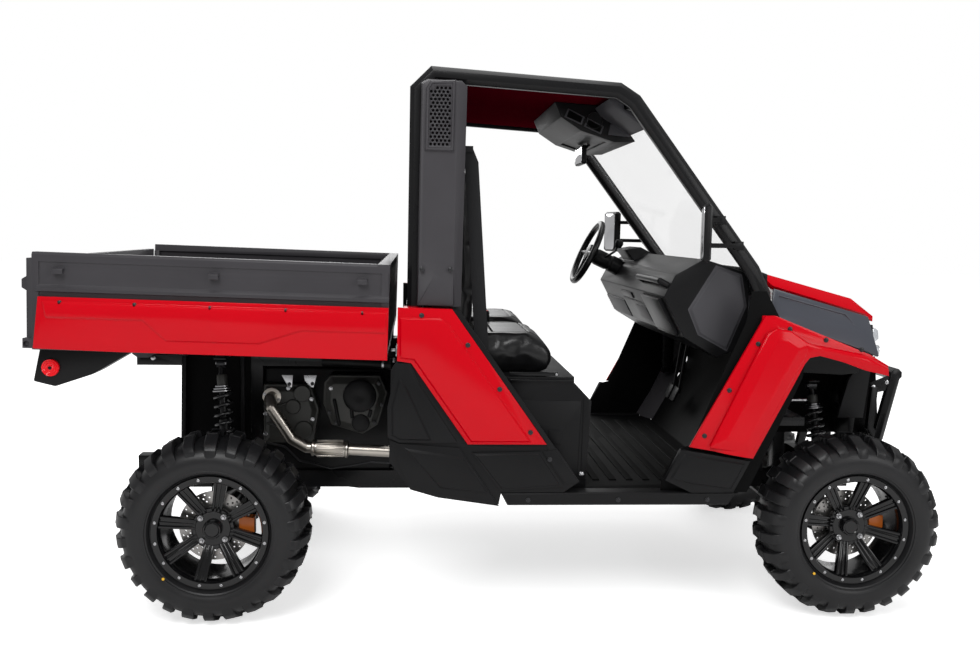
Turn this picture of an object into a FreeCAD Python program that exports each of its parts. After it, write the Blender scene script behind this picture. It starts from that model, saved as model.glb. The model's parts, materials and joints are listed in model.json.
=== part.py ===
"""Side by side utility vehicle: two seats, roll cage with roof and windscreen, and a tipping cargo bed.

Millimetres. +X points forward, +Y to the vehicle's left, +Z up. Every x in this source is measured
from the rear axle and every z from DATUM_DROP under the axles' centres. write_all() then moves the
origin to the floor, at the middle of the length. The right-hand side, at -Y, is modelled first and
its mirror image makes the left. Side-view outlines are lists of (x, z) points.
"""

import math
import os

import FreeCAD
import Part

V = FreeCAD.Vector
OUT = "parts"
NODES = {}

# Overall
WHEELBASE = 2240.0
FIT_GAP = 0.3           # between neighbouring pieces that seat on each other
SWING_GAP = 6.0         # round pieces that move
FLAT_LIMIT = 1e-6       # how far off a plane four corners may lie and still share a face
ROUND_SIDES = 8         # flats of a tube in the frame, cage and suspension

# Wheels
TYRE_DIAMETER = 654.0
DATUM_DROP = 343.0
AXLE_Z = DATUM_DROP
FLOOR_Z = AXLE_Z - TYRE_DIAMETER / 2
TYRE_OUTER_Y = 775.0
FRONT_TYRE_WIDTH = 232.0
REAR_TYRE_WIDTH = 262.0
LUG_COUNT = 14          # lugs round each shoulder, on every second flat of the tread
LUG_HEIGHT = 22.0
BEAD_RADIUS = 182.0
SIDEWALL_RADIUS = TYRE_DIAMETER / 2 - 81
LUG_FOOT_RADIUS = TYRE_DIAMETER / 2 - 62  # where a lug ends on the sidewall
SHOULDER_DROP = 20.0    # how much lower the tread is at its shoulder than at its crown
RIM_FLATS = 16
RIM_FLANGE_RADIUS = BEAD_RADIUS + 14
RIM_FLANGE_WIDTH = 10.0
RIM_INSET = 25.0        # rim flange inboard of the tyre's outer face
BARREL_RADIUS = BEAD_RADIUS - 16
SPOKE_COUNT = 8
SPOKE_WIDTH = 38.0      # at the barrel
SPOKE_HUB_WIDTH = 30.0
SPOKE_DEPTH = 24.0
SPOKE_RING_DEPTH = 8.0  # spoke face inboard of the rim flange, at the barrel
HUB_FACE_DEPTH = 52.0   # the same at the hub
HUB_RADIUS = 74.0
HUB_THICKNESS = 24.0
CAP_RADIUS = 31.0
CAP_HEIGHT = 22.0
DISC_RADIUS = 122.0
DISC_THICKNESS = 6.0
DISC_INSET = 10.0       # disc inboard of the rim's hub
BEARING_RADIUS = 40.0
BEARING_LENGTH = 34.0
SPINDLE_RADIUS = 14.0

# Steering and suspension
KINGPIN_Y = 600.0
BALL_JOINT_RISE = 80.0
BALL_HOUSING_RADIUS = 20.0
BALL_HOUSING_HALF = 15.0
KINGPIN_RADIUS = 9.0
KNUCKLE_HALF_WIDTH = 32.0
KNUCKLE_HALF_HEIGHT = 60.0
KNUCKLE_THICKNESS = 45.0
STEER_ARM_LENGTH = 116.0
STEER_ARM_DROP = 10.0
ARM_TUBE_RADIUS = 11.0
ARM_SLEEVE_RADIUS = 16.0
ARM_SLEEVE_HALF = 22.0
INNER_PIVOT_Y = 310.0
ARM_SPREAD = 130.0
UPPER_ARM_RISE = 8.0    # inner pivots above the ball joints
LOWER_ARM_RISE = 14.0
SHOCK_ROD_RADIUS = 9.0
SHOCK_BODY_RADIUS = 24.0
SPRING_RADIUS = 37.0
SHOCK_Y_TOP = 380.0
SHOCK_Y_BOTTOM = 430.0
SHOCK_LEAN = 30.0       # the shock's head behind its foot
FRONT_SHOCK_TOP_Z = 800.0
REAR_SHOCK_TOP_Z = 868.0
SHOCK_EYE_RADIUS = 16.0
DIFFERENTIAL_Y = 145.0
DIFFERENTIAL_TOP_Z = AXLE_Z + 77
SHAFT_RADIUS = 14.0
BOOT_RADIUS = 30.0
RACK_RADIUS = 12.0
RACK_HALF_LENGTH = 310.0
TIE_ROD_RADIUS = 8.0
RACK_END_INSET = 30.0   # the tie rods' ends inboard of the kingpins
SHAFT_END_INSET = 34.0  # the same for the front half shafts, so that the knuckles can swing
RACK_X = WHEELBASE - STEER_ARM_LENGTH
RACK_Z = AXLE_Z - STEER_ARM_DROP - 8 - 5 - RACK_RADIUS

# Frame and floor
RAIL_Y = 250.0
RAIL_WIDTH = 60.0
RAIL_BOTTOM_Z = 376.0
RAIL_HEIGHT = 64.0
RAIL_TOP_Z = RAIL_BOTTOM_Z + RAIL_HEIGHT
RAIL_INNER = RAIL_Y - RAIL_WIDTH / 2
RAIL_OUTER = RAIL_Y + RAIL_WIDTH / 2
RAIL_REAR = -250.0
RAIL_FRONT = 2420.0
CROSS_WIDTH = 50.0
POST = 44.0
SKID_THICKNESS = 5.0
COWL_X = 2030.0
COWL_Z = 700.0
BULKHEAD_REAR = WHEELBASE - 130
BULKHEAD_FRONT = WHEELBASE + 60
FLOOR_TOP_Z = 474.0
FLOOR_THICKNESS = 14.0
OUTRIGGER_Y = 660.0
STEP_OUTER_Y = 752.0
STEP_WIDTH = 60.0
STEP_TOP_Z = 481.0
STEP_HEIGHT = 47.0
RECEIVER_Z = 408.0
RECEIVER_OUTER = 63.5
RECEIVER_INNER = 50.8
RECEIVER_LENGTH = 190.0
RECEIVER_REAR = -430.0
RECEIVER_PIN_RADIUS = 8.2
RECEIVER_PIN_INSET = 50.0

# Roll cage and roof
CAGE_Y = 640.0
CAGE_TUBE = 52.0
CROSS_TUBE_RADIUS = 20.0
CAGE_OUTER = CAGE_Y + CAGE_TUBE / 2
CAGE_INNER = CAGE_Y - CAGE_TUBE / 2
CAGE_FOOT_Z = 624.0
CAGE_FOOT_HEIGHT = 32.0
ROOF_SEAM_Y = CAGE_INNER - FIT_GAP
CAGE_LINE = [(675, 640), (680, 1838), (734, 1892), (1364, 1857), (1421, 1822), (1860, 1252), (1903, 1168),
             (1912, 1060), (1912, 700)]

# Cabin
WHEEL_X = 1450.0
WHEEL_Y = 350.0
WHEEL_Z = 1283.0
WHEEL_TILT_DEG = 24.5
WHEEL_RADIUS = 140.0
WHEEL_GRIP_RADIUS = 14.0
WHEEL_FLATS = 18
SEAT_INNER_Y = 70.0
SEAT_OUTER_Y = 590.0
BELT_WIDTH = 48.0
BELT_THICKNESS = 3.0
BELT_Y = 600.0
SEAT_BASE_Z = 866.0
DASH_Y = 600.0
DASH_FACE = [(1640.0, 1003.0), (1560.0, 1150.0)]
GLOVE_LID_THICKNESS = 12.0
GLOVE_HINGE_RADIUS = 5.0
PIPE_RADIUS = 22.0
GUARD_TUBE_RADIUS = 22.0
GUARD_Y = 400.0
GUARD_TOP = (2530.0, 850.0)
GUARD_FOOT = (2474.0, 600.0)

# Body panels
PANEL_Y = 765.0         # the outermost face of the side panels
FLANGE_Y = 757.0        # the bolted borders of the side panels
PANEL_BACK_Y = 739.0
HOOD_HINGE = (1936.0, 1234.0)
HOOD_HINGE_RADIUS = 6.0
HOOD_SIDE_THICKNESS = 12.0
FASCIA_Y = 510.0
SLOT_FEET = (722.0, 850.0, 905.0)
SLOT_HEIGHT = 34.0      # of the three grille slots over those heights

# Cargo bed, modelled level and raked nose down about a point over the rear axle
BED_RAKE_DEG = 1.2
BED_REAR = -555.0
BED_FRONT = 589.0
BED_RIM_Z = 1266.0
BED_RIM_HEIGHT = 30.0
BED_RIM_WIDTH = 40.0
BED_FLOOR_Z = 962.0
BED_SHEET = 12.0
BED_HALF_WIDTH = 765.0
BED_WALL_Y = BED_HALF_WIDTH - 30
BED_SIDE_PANEL_Y = BED_HALF_WIDTH + 13
BED_RIB_Y = 180.0
BED_RIB_DEPTH = 44.0
BED_RAIL_Z = 845.0      # underside of the subframe's bed rails
BED_RAIL_HEIGHT = 40.0
BED_PIVOT_X = -330.0
BED_PIVOT_Z = 905.0
BED_PIVOT_RADIUS = 16.0
HOOK_STATIONS = (-470.0, 20.0, 500.0)
TAILGATE_THICKNESS = 24.0
TAILGATE_GAP = 6.0
TAILGATE_HINGE_RADIUS = 9.0


def box(x0, x1, y0, y1, z0, z1):
    """A block between two corners."""
    return Part.makeBox(abs(x1 - x0), abs(y1 - y0), abs(z1 - z0), V(min(x0, x1), min(y0, y1), min(z0, z1)))


def face_of(points):
    """A flat face from a ring of points."""
    return Part.Face(Part.makePolygon([*points, points[0]]))


def solid_of(faces):
    """A solid from faces that close it all round."""
    solid = Part.makeSolid(Part.makeShell(faces))
    return solid if solid.Volume > 0 else solid.reversed()


def side_ring(outline, y):
    """A side-view outline as points in space at y."""
    return [V(x, y, z) for x, z in outline]


def side_plate(outline, y0, y1):
    """A plate cut to a side-view outline, from y0 to y1."""
    return face_of(side_ring(outline, y0)).extrude(V(0, y1 - y0, 0))


def plan_plate(outline, z0, z1):
    """A plate cut to a plan outline of (x, y) points, from z0 to z1."""
    return face_of([V(x, y, z0) for x, y in outline]).extrude(V(0, 0, z1 - z0))


def lengthwise(outline, x0, x1):
    """A cross-section of (y, z) points drawn out from x0 to x1."""
    return face_of([V(x0, y, z) for y, z in outline]).extrude(V(x1 - x0, 0, 0))


def rod(start, end, radius):
    """A round bar between two points."""
    axis = end - start
    return Part.makeCylinder(radius, axis.Length, start, axis)


def fused(shapes):
    """Several touching solids as one."""
    whole = shapes[0].fuse(shapes[1:])
    merged = whole.removeSplitter()
    return merged if merged.isValid() else whole


def mirrored(shape):
    """The same piece on the vehicle's other side."""
    return shape.mirror(V(0, 0, 0), V(0, 1, 0))


def pair(shape):
    """The right-hand piece and its mirror image."""
    return [shape, mirrored(shape)]


def patch(a, b, c, d):
    """One face on four corners that lie in a plane, else two triangles."""
    normal = (b - a).cross(c - a)
    if abs(normal.dot(d - a)) <= FLAT_LIMIT * max(normal.Length, 1.0):
        return [face_of([a, b, c, d])]
    return [face_of([a, b, c]), face_of([a, c, d])]


def cap(ring):
    """A flat face on a ring of points, or a fan of triangles if it isn't flat."""
    normal = (ring[1] - ring[0]).cross(ring[2] - ring[0])
    if all(abs(normal.dot(p - ring[0])) <= FLAT_LIMIT * max(normal.Length, 1.0) for p in ring[3:]):
        return [face_of(ring)]
    return [face_of([ring[0], p, q]) for p, q in zip(ring[1:], ring[2:])]


def skinned(rings, loop=False):
    """A solid through rings of as many points each, capped at its ends or, as a loop, closed on itself."""
    faces = [] if loop else [*cap(rings[0]), *cap(rings[-1])]
    following = rings[1:] + rings[:1] if loop else rings[1:]
    for here, there in zip(rings, following):
        for i, point in enumerate(here):
            j = (i + 1) % len(here)
            faces += patch(point, here[j], there[j], there[i])
    return solid_of(faces)


def meeting(p, d, q, e):
    """Where the line through p along d meets the line through q along e, in a plane."""
    t = ((q[0] - p[0]) * e[1] - (q[1] - p[1]) * e[0]) / (d[0] * e[1] - d[1] * e[0])
    return (p[0] + d[0] * t, p[1] + d[1] * t)


def inset(outline, distance):
    """The outline with every edge moved inward by a distance."""
    count = len(outline)
    area = sum(outline[i][0] * outline[(i + 1) % count][1] - outline[(i + 1) % count][0] * outline[i][1]
               for i in range(count))
    side = 1 if area > 0 else -1
    edges = []
    for i, (x0, z0) in enumerate(outline):
        x1, z1 = outline[(i + 1) % count]
        run = math.hypot(x1 - x0, z1 - z0)
        dx, dz = (x1 - x0) / run, (z1 - z0) / run
        edges.append(((x0 - dz * side * distance, z0 + dx * side * distance), (dx, dz)))
    return [meeting(*edges[i - 1], *edges[i]) for i in range(count)]


def raised(outline, y0, y1, edge):
    """A field standing from y0 to y1 on a side panel, with sloping edges."""
    return skinned([side_ring(outline, y0), side_ring(inset(outline, edge), y1)])


def cushion(outline, y0, y1, edge):
    """A side-view outline drawn across from y0 to y1, its two ends rounded off by one chamfer."""
    small = inset(outline, edge)
    return skinned([side_ring(small, y0), side_ring(outline, y0 + edge), side_ring(outline, y1 - edge),
                    side_ring(small, y1)])


def pipe(points, radius, sides=ROUND_SIDES):
    """A tube with flat sides at the given radius from its centre line, mitred at each bend."""
    runs = [(b - a).normalize() for a, b in zip(points, points[1:])]
    across = runs[0].cross(V(0, 1, 0))
    if across.Length < 0.1:
        across = V(1, 0, 0)
    across.normalize()
    third = runs[0].cross(across)
    reach = radius / math.cos(math.pi / sides)
    ring = []
    for k in range(sides):
        a = 2 * math.pi * (k + 0.5) / sides
        ring.append(points[0] + across * (reach * math.cos(a)) + third * (reach * math.sin(a)))
    rings = [ring]
    for i, point in enumerate(points[1:]):
        run = runs[i]
        normal = run + (runs[i + 1] if i + 1 < len(runs) else run)
        ring = [q + run * ((point - q).dot(normal) / run.dot(normal)) for q in ring]
        rings.append(ring)
    return skinned(rings)


def spun(profile, count, phase=0.0):
    """A ring of (y, radius) points round the wheel's axis in flats, the first edge at phase degrees."""
    rings = []
    for i in range(count):
        a = math.radians(phase + 360.0 * i / count)
        rings.append([V(r * math.sin(a), y, -r * math.cos(a)) for y, r in profile])
    return skinned(rings, loop=True)


def drum(y0, y1, radius, sides):
    """A flat-sided drum on the wheel's axis."""
    return pipe([V(0, y0, 0), V(0, y1, 0)], radius, sides)


def export(name, shapes):
    """Keeps one node for write_all(). Its solids stay apart from each other."""
    shapes = shapes if isinstance(shapes, list) else [shapes]
    solids = [s for shape in shapes for s in shape.Solids]
    NODES[name] = solids[0] if len(solids) == 1 else Part.makeCompound(solids)


def write_all():
    """Moves the origin to the floor at the middle of the vehicle's length and writes every node."""
    rear = min(shape.BoundBox.XMin for shape in NODES.values())
    front = max(shape.BoundBox.XMax for shape in NODES.values())
    for name, shape in NODES.items():
        shape.translate(V(-(rear + front) / 2, 0, -FLOOR_Z))
        shape.exportStep(os.path.join(OUT, name + ".step"))
        size = round(shape.Volume / 1e6, 3)
        print(name, len(shape.Solids), "solids", size, "litres", "valid" if shape.isValid() else "NOT VALID")
    print("origin is", round((rear + front) / 2, 3), "ahead of the rear axle; length", round(front - rear, 2))


def turned(shape, degrees):
    """A copy turned about the wheel's axis."""
    copy = shape.copy()
    copy.rotate(V(0, 0, 0), V(0, 1, 0), degrees)
    return copy


def placed(shape, x, y=0.0):
    """A copy moved to an axle's height at station x."""
    copy = shape.copy()
    copy.translate(V(x, y, AXLE_Z))
    return copy


def tyre(width):
    """A lugged tyre in flats. Even flats carry a lug on one shoulder and odd flats on the other."""
    half = width / 2
    flats = LUG_COUNT * 2
    swell = 1 / math.cos(math.pi / flats)
    top = TYRE_DIAMETER / 2 * swell
    base = top - LUG_HEIGHT
    bead = half - RIM_INSET - RIM_FLANGE_WIDTH - FIT_GAP
    start = (0.10 * half, base)
    foot = (0.925 * half, LUG_FOOT_RADIUS)
    block = [(0.10 * half, top), (0.80 * half, top - SHOULDER_DROP)]
    bare = [(0.80 * half, base - SHOULDER_DROP)]
    share = (RIM_FLANGE_RADIUS * swell - BEAD_RADIUS) / (SIDEWALL_RADIUS - BEAD_RADIUS)
    bead = (bead - share * half) / (1 - share)
    wall = [(half, SIDEWALL_RADIUS), (bead, BEAD_RADIUS)]

    def point(spot, side, i):
        a = 2 * math.pi * (i - 0.5) / flats
        return V(spot[1] * math.sin(a), side * spot[0], -spot[1] * math.cos(a))

    faces = []
    for i in range(flats):
        lugged = -1 if i % 2 == 0 else 1
        right = [start, *(block if lugged < 0 else bare), foot, *wall]
        left = [start, *(block if lugged > 0 else bare), foot, *wall]
        ring = [(s, -1) for s in right] + [(s, 1) for s in reversed(left)]
        for (s, u), (t, v) in zip(ring, ring[1:] + ring[:1]):
            faces.append(face_of([point(s, u, i), point(t, v, i), point(t, v, i + 1), point(s, u, i + 1)]))
        for side in (-1, 1):
            end = [start, *block, foot, *reversed(bare)]
            faces.append(face_of([point(s, side, i) for s in end]))
    return solid_of(faces)


def rim(width):
    """A spoked rim: barrel with two flanges, spokes, hub and cap. Its outer face looks to -Y."""
    half = width / 2 - RIM_INSET
    seat = BEAD_RADIUS * math.cos(math.pi / (LUG_COUNT * 2)) - FIT_GAP
    flange = RIM_FLANGE_WIDTH
    barrel = spun([(-half, RIM_FLANGE_RADIUS), (-half + flange, RIM_FLANGE_RADIUS), (-half + flange, seat),
                   (half - flange, seat), (half - flange, RIM_FLANGE_RADIUS), (half, RIM_FLANGE_RADIUS),
                   (half, BARREL_RADIUS), (-half, BARREL_RADIUS)], RIM_FLATS,
                  180.0 / RIM_FLATS)
    hub_face = -half + HUB_FACE_DEPTH
    ends = []
    for radius, face, wide in ((BARREL_RADIUS + 3, -half + SPOKE_RING_DEPTH, SPOKE_WIDTH / 2),
                               (HUB_RADIUS - 6, hub_face, SPOKE_HUB_WIDTH / 2)):
        ends.append([V(-wide, face, radius), V(wide, face, radius), V(wide, face + SPOKE_DEPTH, radius),
                     V(-wide, face + SPOKE_DEPTH, radius)])
    spoke = skinned(ends)
    spokes = [turned(spoke, i * 360.0 / SPOKE_COUNT) for i in range(SPOKE_COUNT)]
    hub = drum(hub_face, hub_face + HUB_THICKNESS, HUB_RADIUS, SPOKE_COUNT)
    cap = drum(hub_face - CAP_HEIGHT, hub_face + 1, CAP_RADIUS, SPOKE_COUNT)
    return fused([barrel, hub, cap, *spokes])


def hub_back_y():
    """The inboard face of a right-hand rim's hub."""
    return -(TYRE_OUTER_Y - RIM_INSET) + HUB_FACE_DEPTH + HUB_THICKNESS


def knuckle_face_y():
    """The outboard face of a right-hand upright's body."""
    return hub_back_y() + FIT_GAP + BEARING_LENGTH + SWING_GAP


def brake_disc():
    """Brake disc on its bearing housing, bored for the spindle, at its own y."""
    face = hub_back_y() + FIT_GAP
    housing = drum(face, face + BEARING_LENGTH, BEARING_RADIUS, 8)
    disc = drum(face + DISC_INSET, face + DISC_INSET + DISC_THICKNESS, DISC_RADIUS, 16)
    bore = drum(face + 6, face + BEARING_LENGTH + 1, SPINDLE_RADIUS + FIT_GAP, 8)
    return housing.fuse(disc).cut(bore)


def knuckle(steered):
    """Upright with its ball joint bosses, spindle, brake caliper and, if steered, a steering arm."""
    face = knuckle_face_y()
    w = KNUCKLE_HALF_WIDTH
    h = KNUCKLE_HALF_HEIGHT
    body = side_plate([(-w, -h), (w, -h), (w + 8, 0), (w, h), (-w, h), (-w - 8, 0)], face,
                      face + KNUCKLE_THICKNESS)
    spindle = rod(V(0, hub_back_y() + FIT_GAP + 8, 0), V(0, face + 1, 0), SPINDLE_RADIUS)
    boss_end = BALL_JOINT_RISE - BALL_HOUSING_HALF - FIT_GAP
    low, high = V(0, -KINGPIN_Y, -boss_end), V(0, -KINGPIN_Y, boss_end)
    root = V(0, -KINGPIN_Y, h - 1)
    bosses = [pipe([low, V(0, -KINGPIN_Y, 1 - h)], KINGPIN_RADIUS, 6),
              rod(root, high, KINGPIN_RADIUS) if steered else pipe([root, high], KINGPIN_RADIUS, 6)]
    disc_back = hub_back_y() + FIT_GAP + DISC_INSET + DISC_THICKNESS
    bracket = plan_plate([(20, face + 30), (20, face + 6), (46, face + 6), (46, disc_back + 6),
                          (128, disc_back + 6), (128, disc_back + 20), (60, face + 30)], -18, 18)
    shell = side_plate([(84, -38), (136, -30), (136, 30), (84, 38)], disc_back - 20, disc_back + 20)
    slot = box(78, DISC_RADIUS + 8, disc_back - DISC_THICKNESS - 5, disc_back + 5, -60, 60)
    shapes = [body, spindle, *bosses, bracket, shell.cut(slot)]
    if steered:
        tip = V(-STEER_ARM_LENGTH, -KINGPIN_Y + 14, -STEER_ARM_DROP)
        shapes.append(plan_plate([(-20, face + 10), (-20, face + 40), (tip.x, tip.y + 14),
                                  (tip.x - 14, tip.y), (tip.x, tip.y - 14)], tip.z - 8, tip.z + 8))
    return fused(shapes)


def build_wheels():
    """Tyres, rims, discs and knuckles of all four corners."""
    for end, x, width in (("front", WHEELBASE, FRONT_TYRE_WIDTH), ("rear", 0.0, REAR_TYRE_WIDTH)):
        centre = -(TYRE_OUTER_Y - width / 2)
        for part_name, shape in (("tyre", placed(tyre(width), x, centre)),
                                 ("rim", placed(rim(width), x, centre)),
                                 ("brake_disc", placed(brake_disc(), x))):
            export(f"{part_name}_{end}_right", shape.copy())
            export(f"{part_name}_{end}_left", mirrored(shape))
    right = placed(knuckle(True), WHEELBASE)
    export("knuckle_right", right.copy())
    export("knuckle_left", mirrored(right))
    export("rear_knuckles", pair(placed(knuckle(False), 0.0)))


def wishbone(x, z, tip_z, padded):
    """An A-shaped arm from two inner pivots to the ball joint, and the height of its shock's seat."""
    half = BALL_HOUSING_HALF
    shapes = [pipe([V(x, -KINGPIN_Y, tip_z - half), V(x, -KINGPIN_Y, tip_z + half)], BALL_HOUSING_RADIUS, 6)]
    for s in (-1, 1):
        root = V(x + s * ARM_SPREAD / 2, -INNER_PIVOT_Y, z)
        near = V(x + s * 8, -KINGPIN_Y + 6, tip_z)
        sleeve = V(ARM_SLEEVE_HALF, 0, 0)
        shapes.append(pipe([root, near], ARM_TUBE_RADIUS, 4))
        shapes.append(pipe([root - sleeve, root + sleeve], ARM_SLEEVE_RADIUS, 6))
    share = (SHOCK_Y_BOTTOM - INNER_PIVOT_Y) / (KINGPIN_Y - INNER_PIVOT_Y)
    spread = ARM_SPREAD / 2 * (1 - share) + 14
    seat_z = z + (tip_z - z) * share + ARM_TUBE_RADIUS + 4
    if padded:
        shapes.append(box(x - spread, x + spread, -SHOCK_Y_BOTTOM - 26, -SHOCK_Y_BOTTOM + 26,
                          seat_z - 16, seat_z))
    return fused(shapes), seat_z


def build_suspension():
    """Double wishbones, coil-over shocks and half shafts, fixed at their parked height."""
    arms, shocks, shafts, mounts = [], [], [], []
    for x, top_z in ((WHEELBASE, FRONT_SHOCK_TOP_Z), (0.0, REAR_SHOCK_TOP_Z)):
        upper, seat_z = wishbone(x, AXLE_Z + BALL_JOINT_RISE + UPPER_ARM_RISE, AXLE_Z + BALL_JOINT_RISE, True)
        lower, _ = wishbone(x, AXLE_Z - BALL_JOINT_RISE + LOWER_ARM_RISE, AXLE_Z - BALL_JOINT_RISE, False)
        arms += pair(upper) + pair(lower)
        foot = V(x, -SHOCK_Y_BOTTOM, seat_z + SHOCK_EYE_RADIUS + FIT_GAP)
        head = V(x - SHOCK_LEAN, -SHOCK_Y_TOP, top_z)
        along = head - foot
        eye = V(SHOCK_EYE_RADIUS, 0, 0)
        shocks += pair(fused([
            pipe([foot - eye, foot + eye], SHOCK_EYE_RADIUS, 6),
            pipe([head - eye, head + eye], SHOCK_EYE_RADIUS, 6),
            pipe([foot, foot + along * 0.16], SHOCK_ROD_RADIUS, 6),
            pipe([foot + along * 0.14, foot + along * 0.74], SPRING_RADIUS),
            pipe([foot + along * 0.73, foot + along * 0.96], SHOCK_BODY_RADIUS)]))
        inner = V(x, -DIFFERENTIAL_Y, AXLE_Z - 10)
        end_y = SHAFT_END_INSET - KINGPIN_Y if x > 0 else knuckle_face_y() + KNUCKLE_THICKNESS
        outer = V(x, end_y, AXLE_Z)
        run = outer - inner
        shaft = fused([pipe([inner, outer], SHAFT_RADIUS, 6),
                       pipe([inner, inner + run * 0.2], BOOT_RADIUS, 6),
                       pipe([inner + run * 0.84, outer], BOOT_RADIUS, 6)])
        clear = box(x - 99, x + 99, inner.y - FIT_GAP, outer.y + FIT_GAP, AXLE_Z - 99, AXLE_Z + 99)
        shafts += pair(shaft.common(clear))
        for s in (-1, 1):
            near = x + s * ARM_SPREAD / 2
            flat = INNER_PIVOT_Y - ARM_SLEEVE_RADIUS / math.cos(math.pi / 6) - FIT_GAP
            mounts += pair(side_plate([(near - 22, AXLE_Z - 88), (near + 22, AXLE_Z - 88),
                                       (near + 22, RAIL_TOP_Z + 8),
                                       (near + 12, RAIL_TOP_Z + 18), (near - 12, RAIL_TOP_Z + 18),
                                       (near - 22, RAIL_TOP_Z + 8)], -flat, -RAIL_OUTER - FIT_GAP))
    export("suspension_arms", arms)
    export("shock_absorbers", shocks)
    export("axle_shafts", shafts)
    export("suspension_mounts", mounts)
    end = V(RACK_X, RACK_END_INSET - KINGPIN_Y, RACK_Z)
    middle = V(RACK_X, -RACK_HALF_LENGTH, RACK_Z)
    export("steering_rack", fused([pipe([end, V(RACK_X, -end.y, RACK_Z)], TIE_ROD_RADIUS),
                                   pipe([middle, V(RACK_X, RACK_HALF_LENGTH, RACK_Z)], RACK_RADIUS)]))


def build_chassis():
    """Ladder frame with its outriggers, rack guides and receiver hitch, and the skid plate under it."""
    pieces = []
    for x in (-245, 400, 900, 1350, 1800, 2360):
        pieces.append(box(x, x + CROSS_WIDTH, -RAIL_OUTER, RAIL_OUTER, RAIL_BOTTOM_Z, RAIL_TOP_Z))
    pieces.append(box(WHEELBASE - 25, WHEELBASE + 25, -RAIL_OUTER, RAIL_OUTER, DIFFERENTIAL_TOP_Z + FIT_GAP,
                      RAIL_TOP_Z))
    outriggers = [box(x, x + CROSS_WIDTH, -OUTRIGGER_Y, OUTRIGGER_Y, RAIL_TOP_Z + FIT_GAP,
                      FLOOR_TOP_Z - FLOOR_THICKNESS - FIT_GAP) for x in (900, 1350, 1780)]
    for s in (-1, 1):
        pieces.append(box(RAIL_REAR, RAIL_FRONT, s * RAIL_INNER, s * RAIL_OUTER, RAIL_BOTTOM_Z, RAIL_TOP_Z))
        pieces.append(box(RACK_X - 24, RACK_X + 24, s * 205, s * 245, RACK_Z - 24, RAIL_BOTTOM_Z + 4))
    half = RECEIVER_OUTER / 2
    hole = RECEIVER_INNER / 2
    rear = RECEIVER_REAR
    pieces.append(box(rear, rear + RECEIVER_LENGTH, -half, half, RECEIVER_Z - half, RECEIVER_Z + half))
    socket = box(rear - 1, rear + RECEIVER_LENGTH - 12, -hole, hole, RECEIVER_Z - hole, RECEIVER_Z + hole)
    pin_x = rear + RECEIVER_PIN_INSET
    pin = rod(V(pin_x, -half - 1, RECEIVER_Z), V(pin_x, half + 1, RECEIVER_Z), RECEIVER_PIN_RADIUS)
    guides = [pipe([V(RACK_X, s * 204, RACK_Z), V(RACK_X, s * 246, RACK_Z)],
                   RACK_RADIUS + FIT_GAP) for s in (-1, 1)]
    export("chassis_frame", [fused(pieces).cut(Part.makeCompound([socket, pin, *guides])), *outriggers])
    top = RAIL_BOTTOM_Z - FIT_GAP
    export("skid_plate", side_plate([(430, top), (470, top - SKID_THICKNESS), (1800, top - SKID_THICKNESS),
                                     (1840, top)], -RAIL_OUTER, RAIL_OUTER))


def raked_z(x, z):
    """The height of a point of the bed at station x once the bed is raked."""
    a = math.radians(BED_RAKE_DEG)
    return BED_FLOOR_Z + (z - BED_FLOOR_Z) * math.cos(a) - x * math.sin(a)


def build_subframe():
    """The raised frame that carries the bed, with its pivot ears, front rests and rear shock brackets."""
    low = RAIL_TOP_Z + FIT_GAP
    bed_z = BED_RAIL_Z
    top = BED_RAIL_Z + BED_RAIL_HEIGHT
    outer = RAIL_OUTER
    inner = outer - POST
    pieces = [box(x, x + 40, -outer, outer, bed_z, top) for x in (600, -187, -360)]
    rest_x = 570
    rest_z = raked_z(rest_x + 36, BED_FLOOR_Z - BED_RIB_DEPTH) - 0.5
    for s in (-1, 1):
        pieces.append(box(-360, 640, s * inner, s * outer, bed_z, top))
        for x in (-187, 62, 604 - FIT_GAP):
            pieces.append(box(x, x + POST, s * inner, s * outer, low, bed_z + 1))
        pieces.append(box(rest_x, rest_x + 36, s * BED_RIB_Y, s * inner, bed_z + 15, rest_z))
        pieces.append(box(rest_x, rest_x + 36, s * (inner - 1), s * outer, bed_z + 15, rest_z))
        head = REAR_SHOCK_TOP_Z + SHOCK_EYE_RADIUS + FIT_GAP
        pieces.append(plan_plate([(-62, s * (outer - 1)), (2, s * (outer - 1)), (-8, s * (SHOCK_Y_TOP + 26)),
                                  (-52, s * (SHOCK_Y_TOP + 26))], head, head + 7))
        pieces.append(box(BED_PIVOT_X - 28, BED_PIVOT_X + 28, s * (outer - 16), s * outer, bed_z,
                          BED_PIVOT_Z + 24))
    pivots = [pipe([V(BED_PIVOT_X, s * (outer - 17), BED_PIVOT_Z),
                    V(BED_PIVOT_X, s * (outer + 1), BED_PIVOT_Z)],
                   BED_PIVOT_RADIUS + FIT_GAP) for s in (-1, 1)]
    export("bed_subframe", fused(pieces).cut(Part.makeCompound(pivots)))


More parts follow.
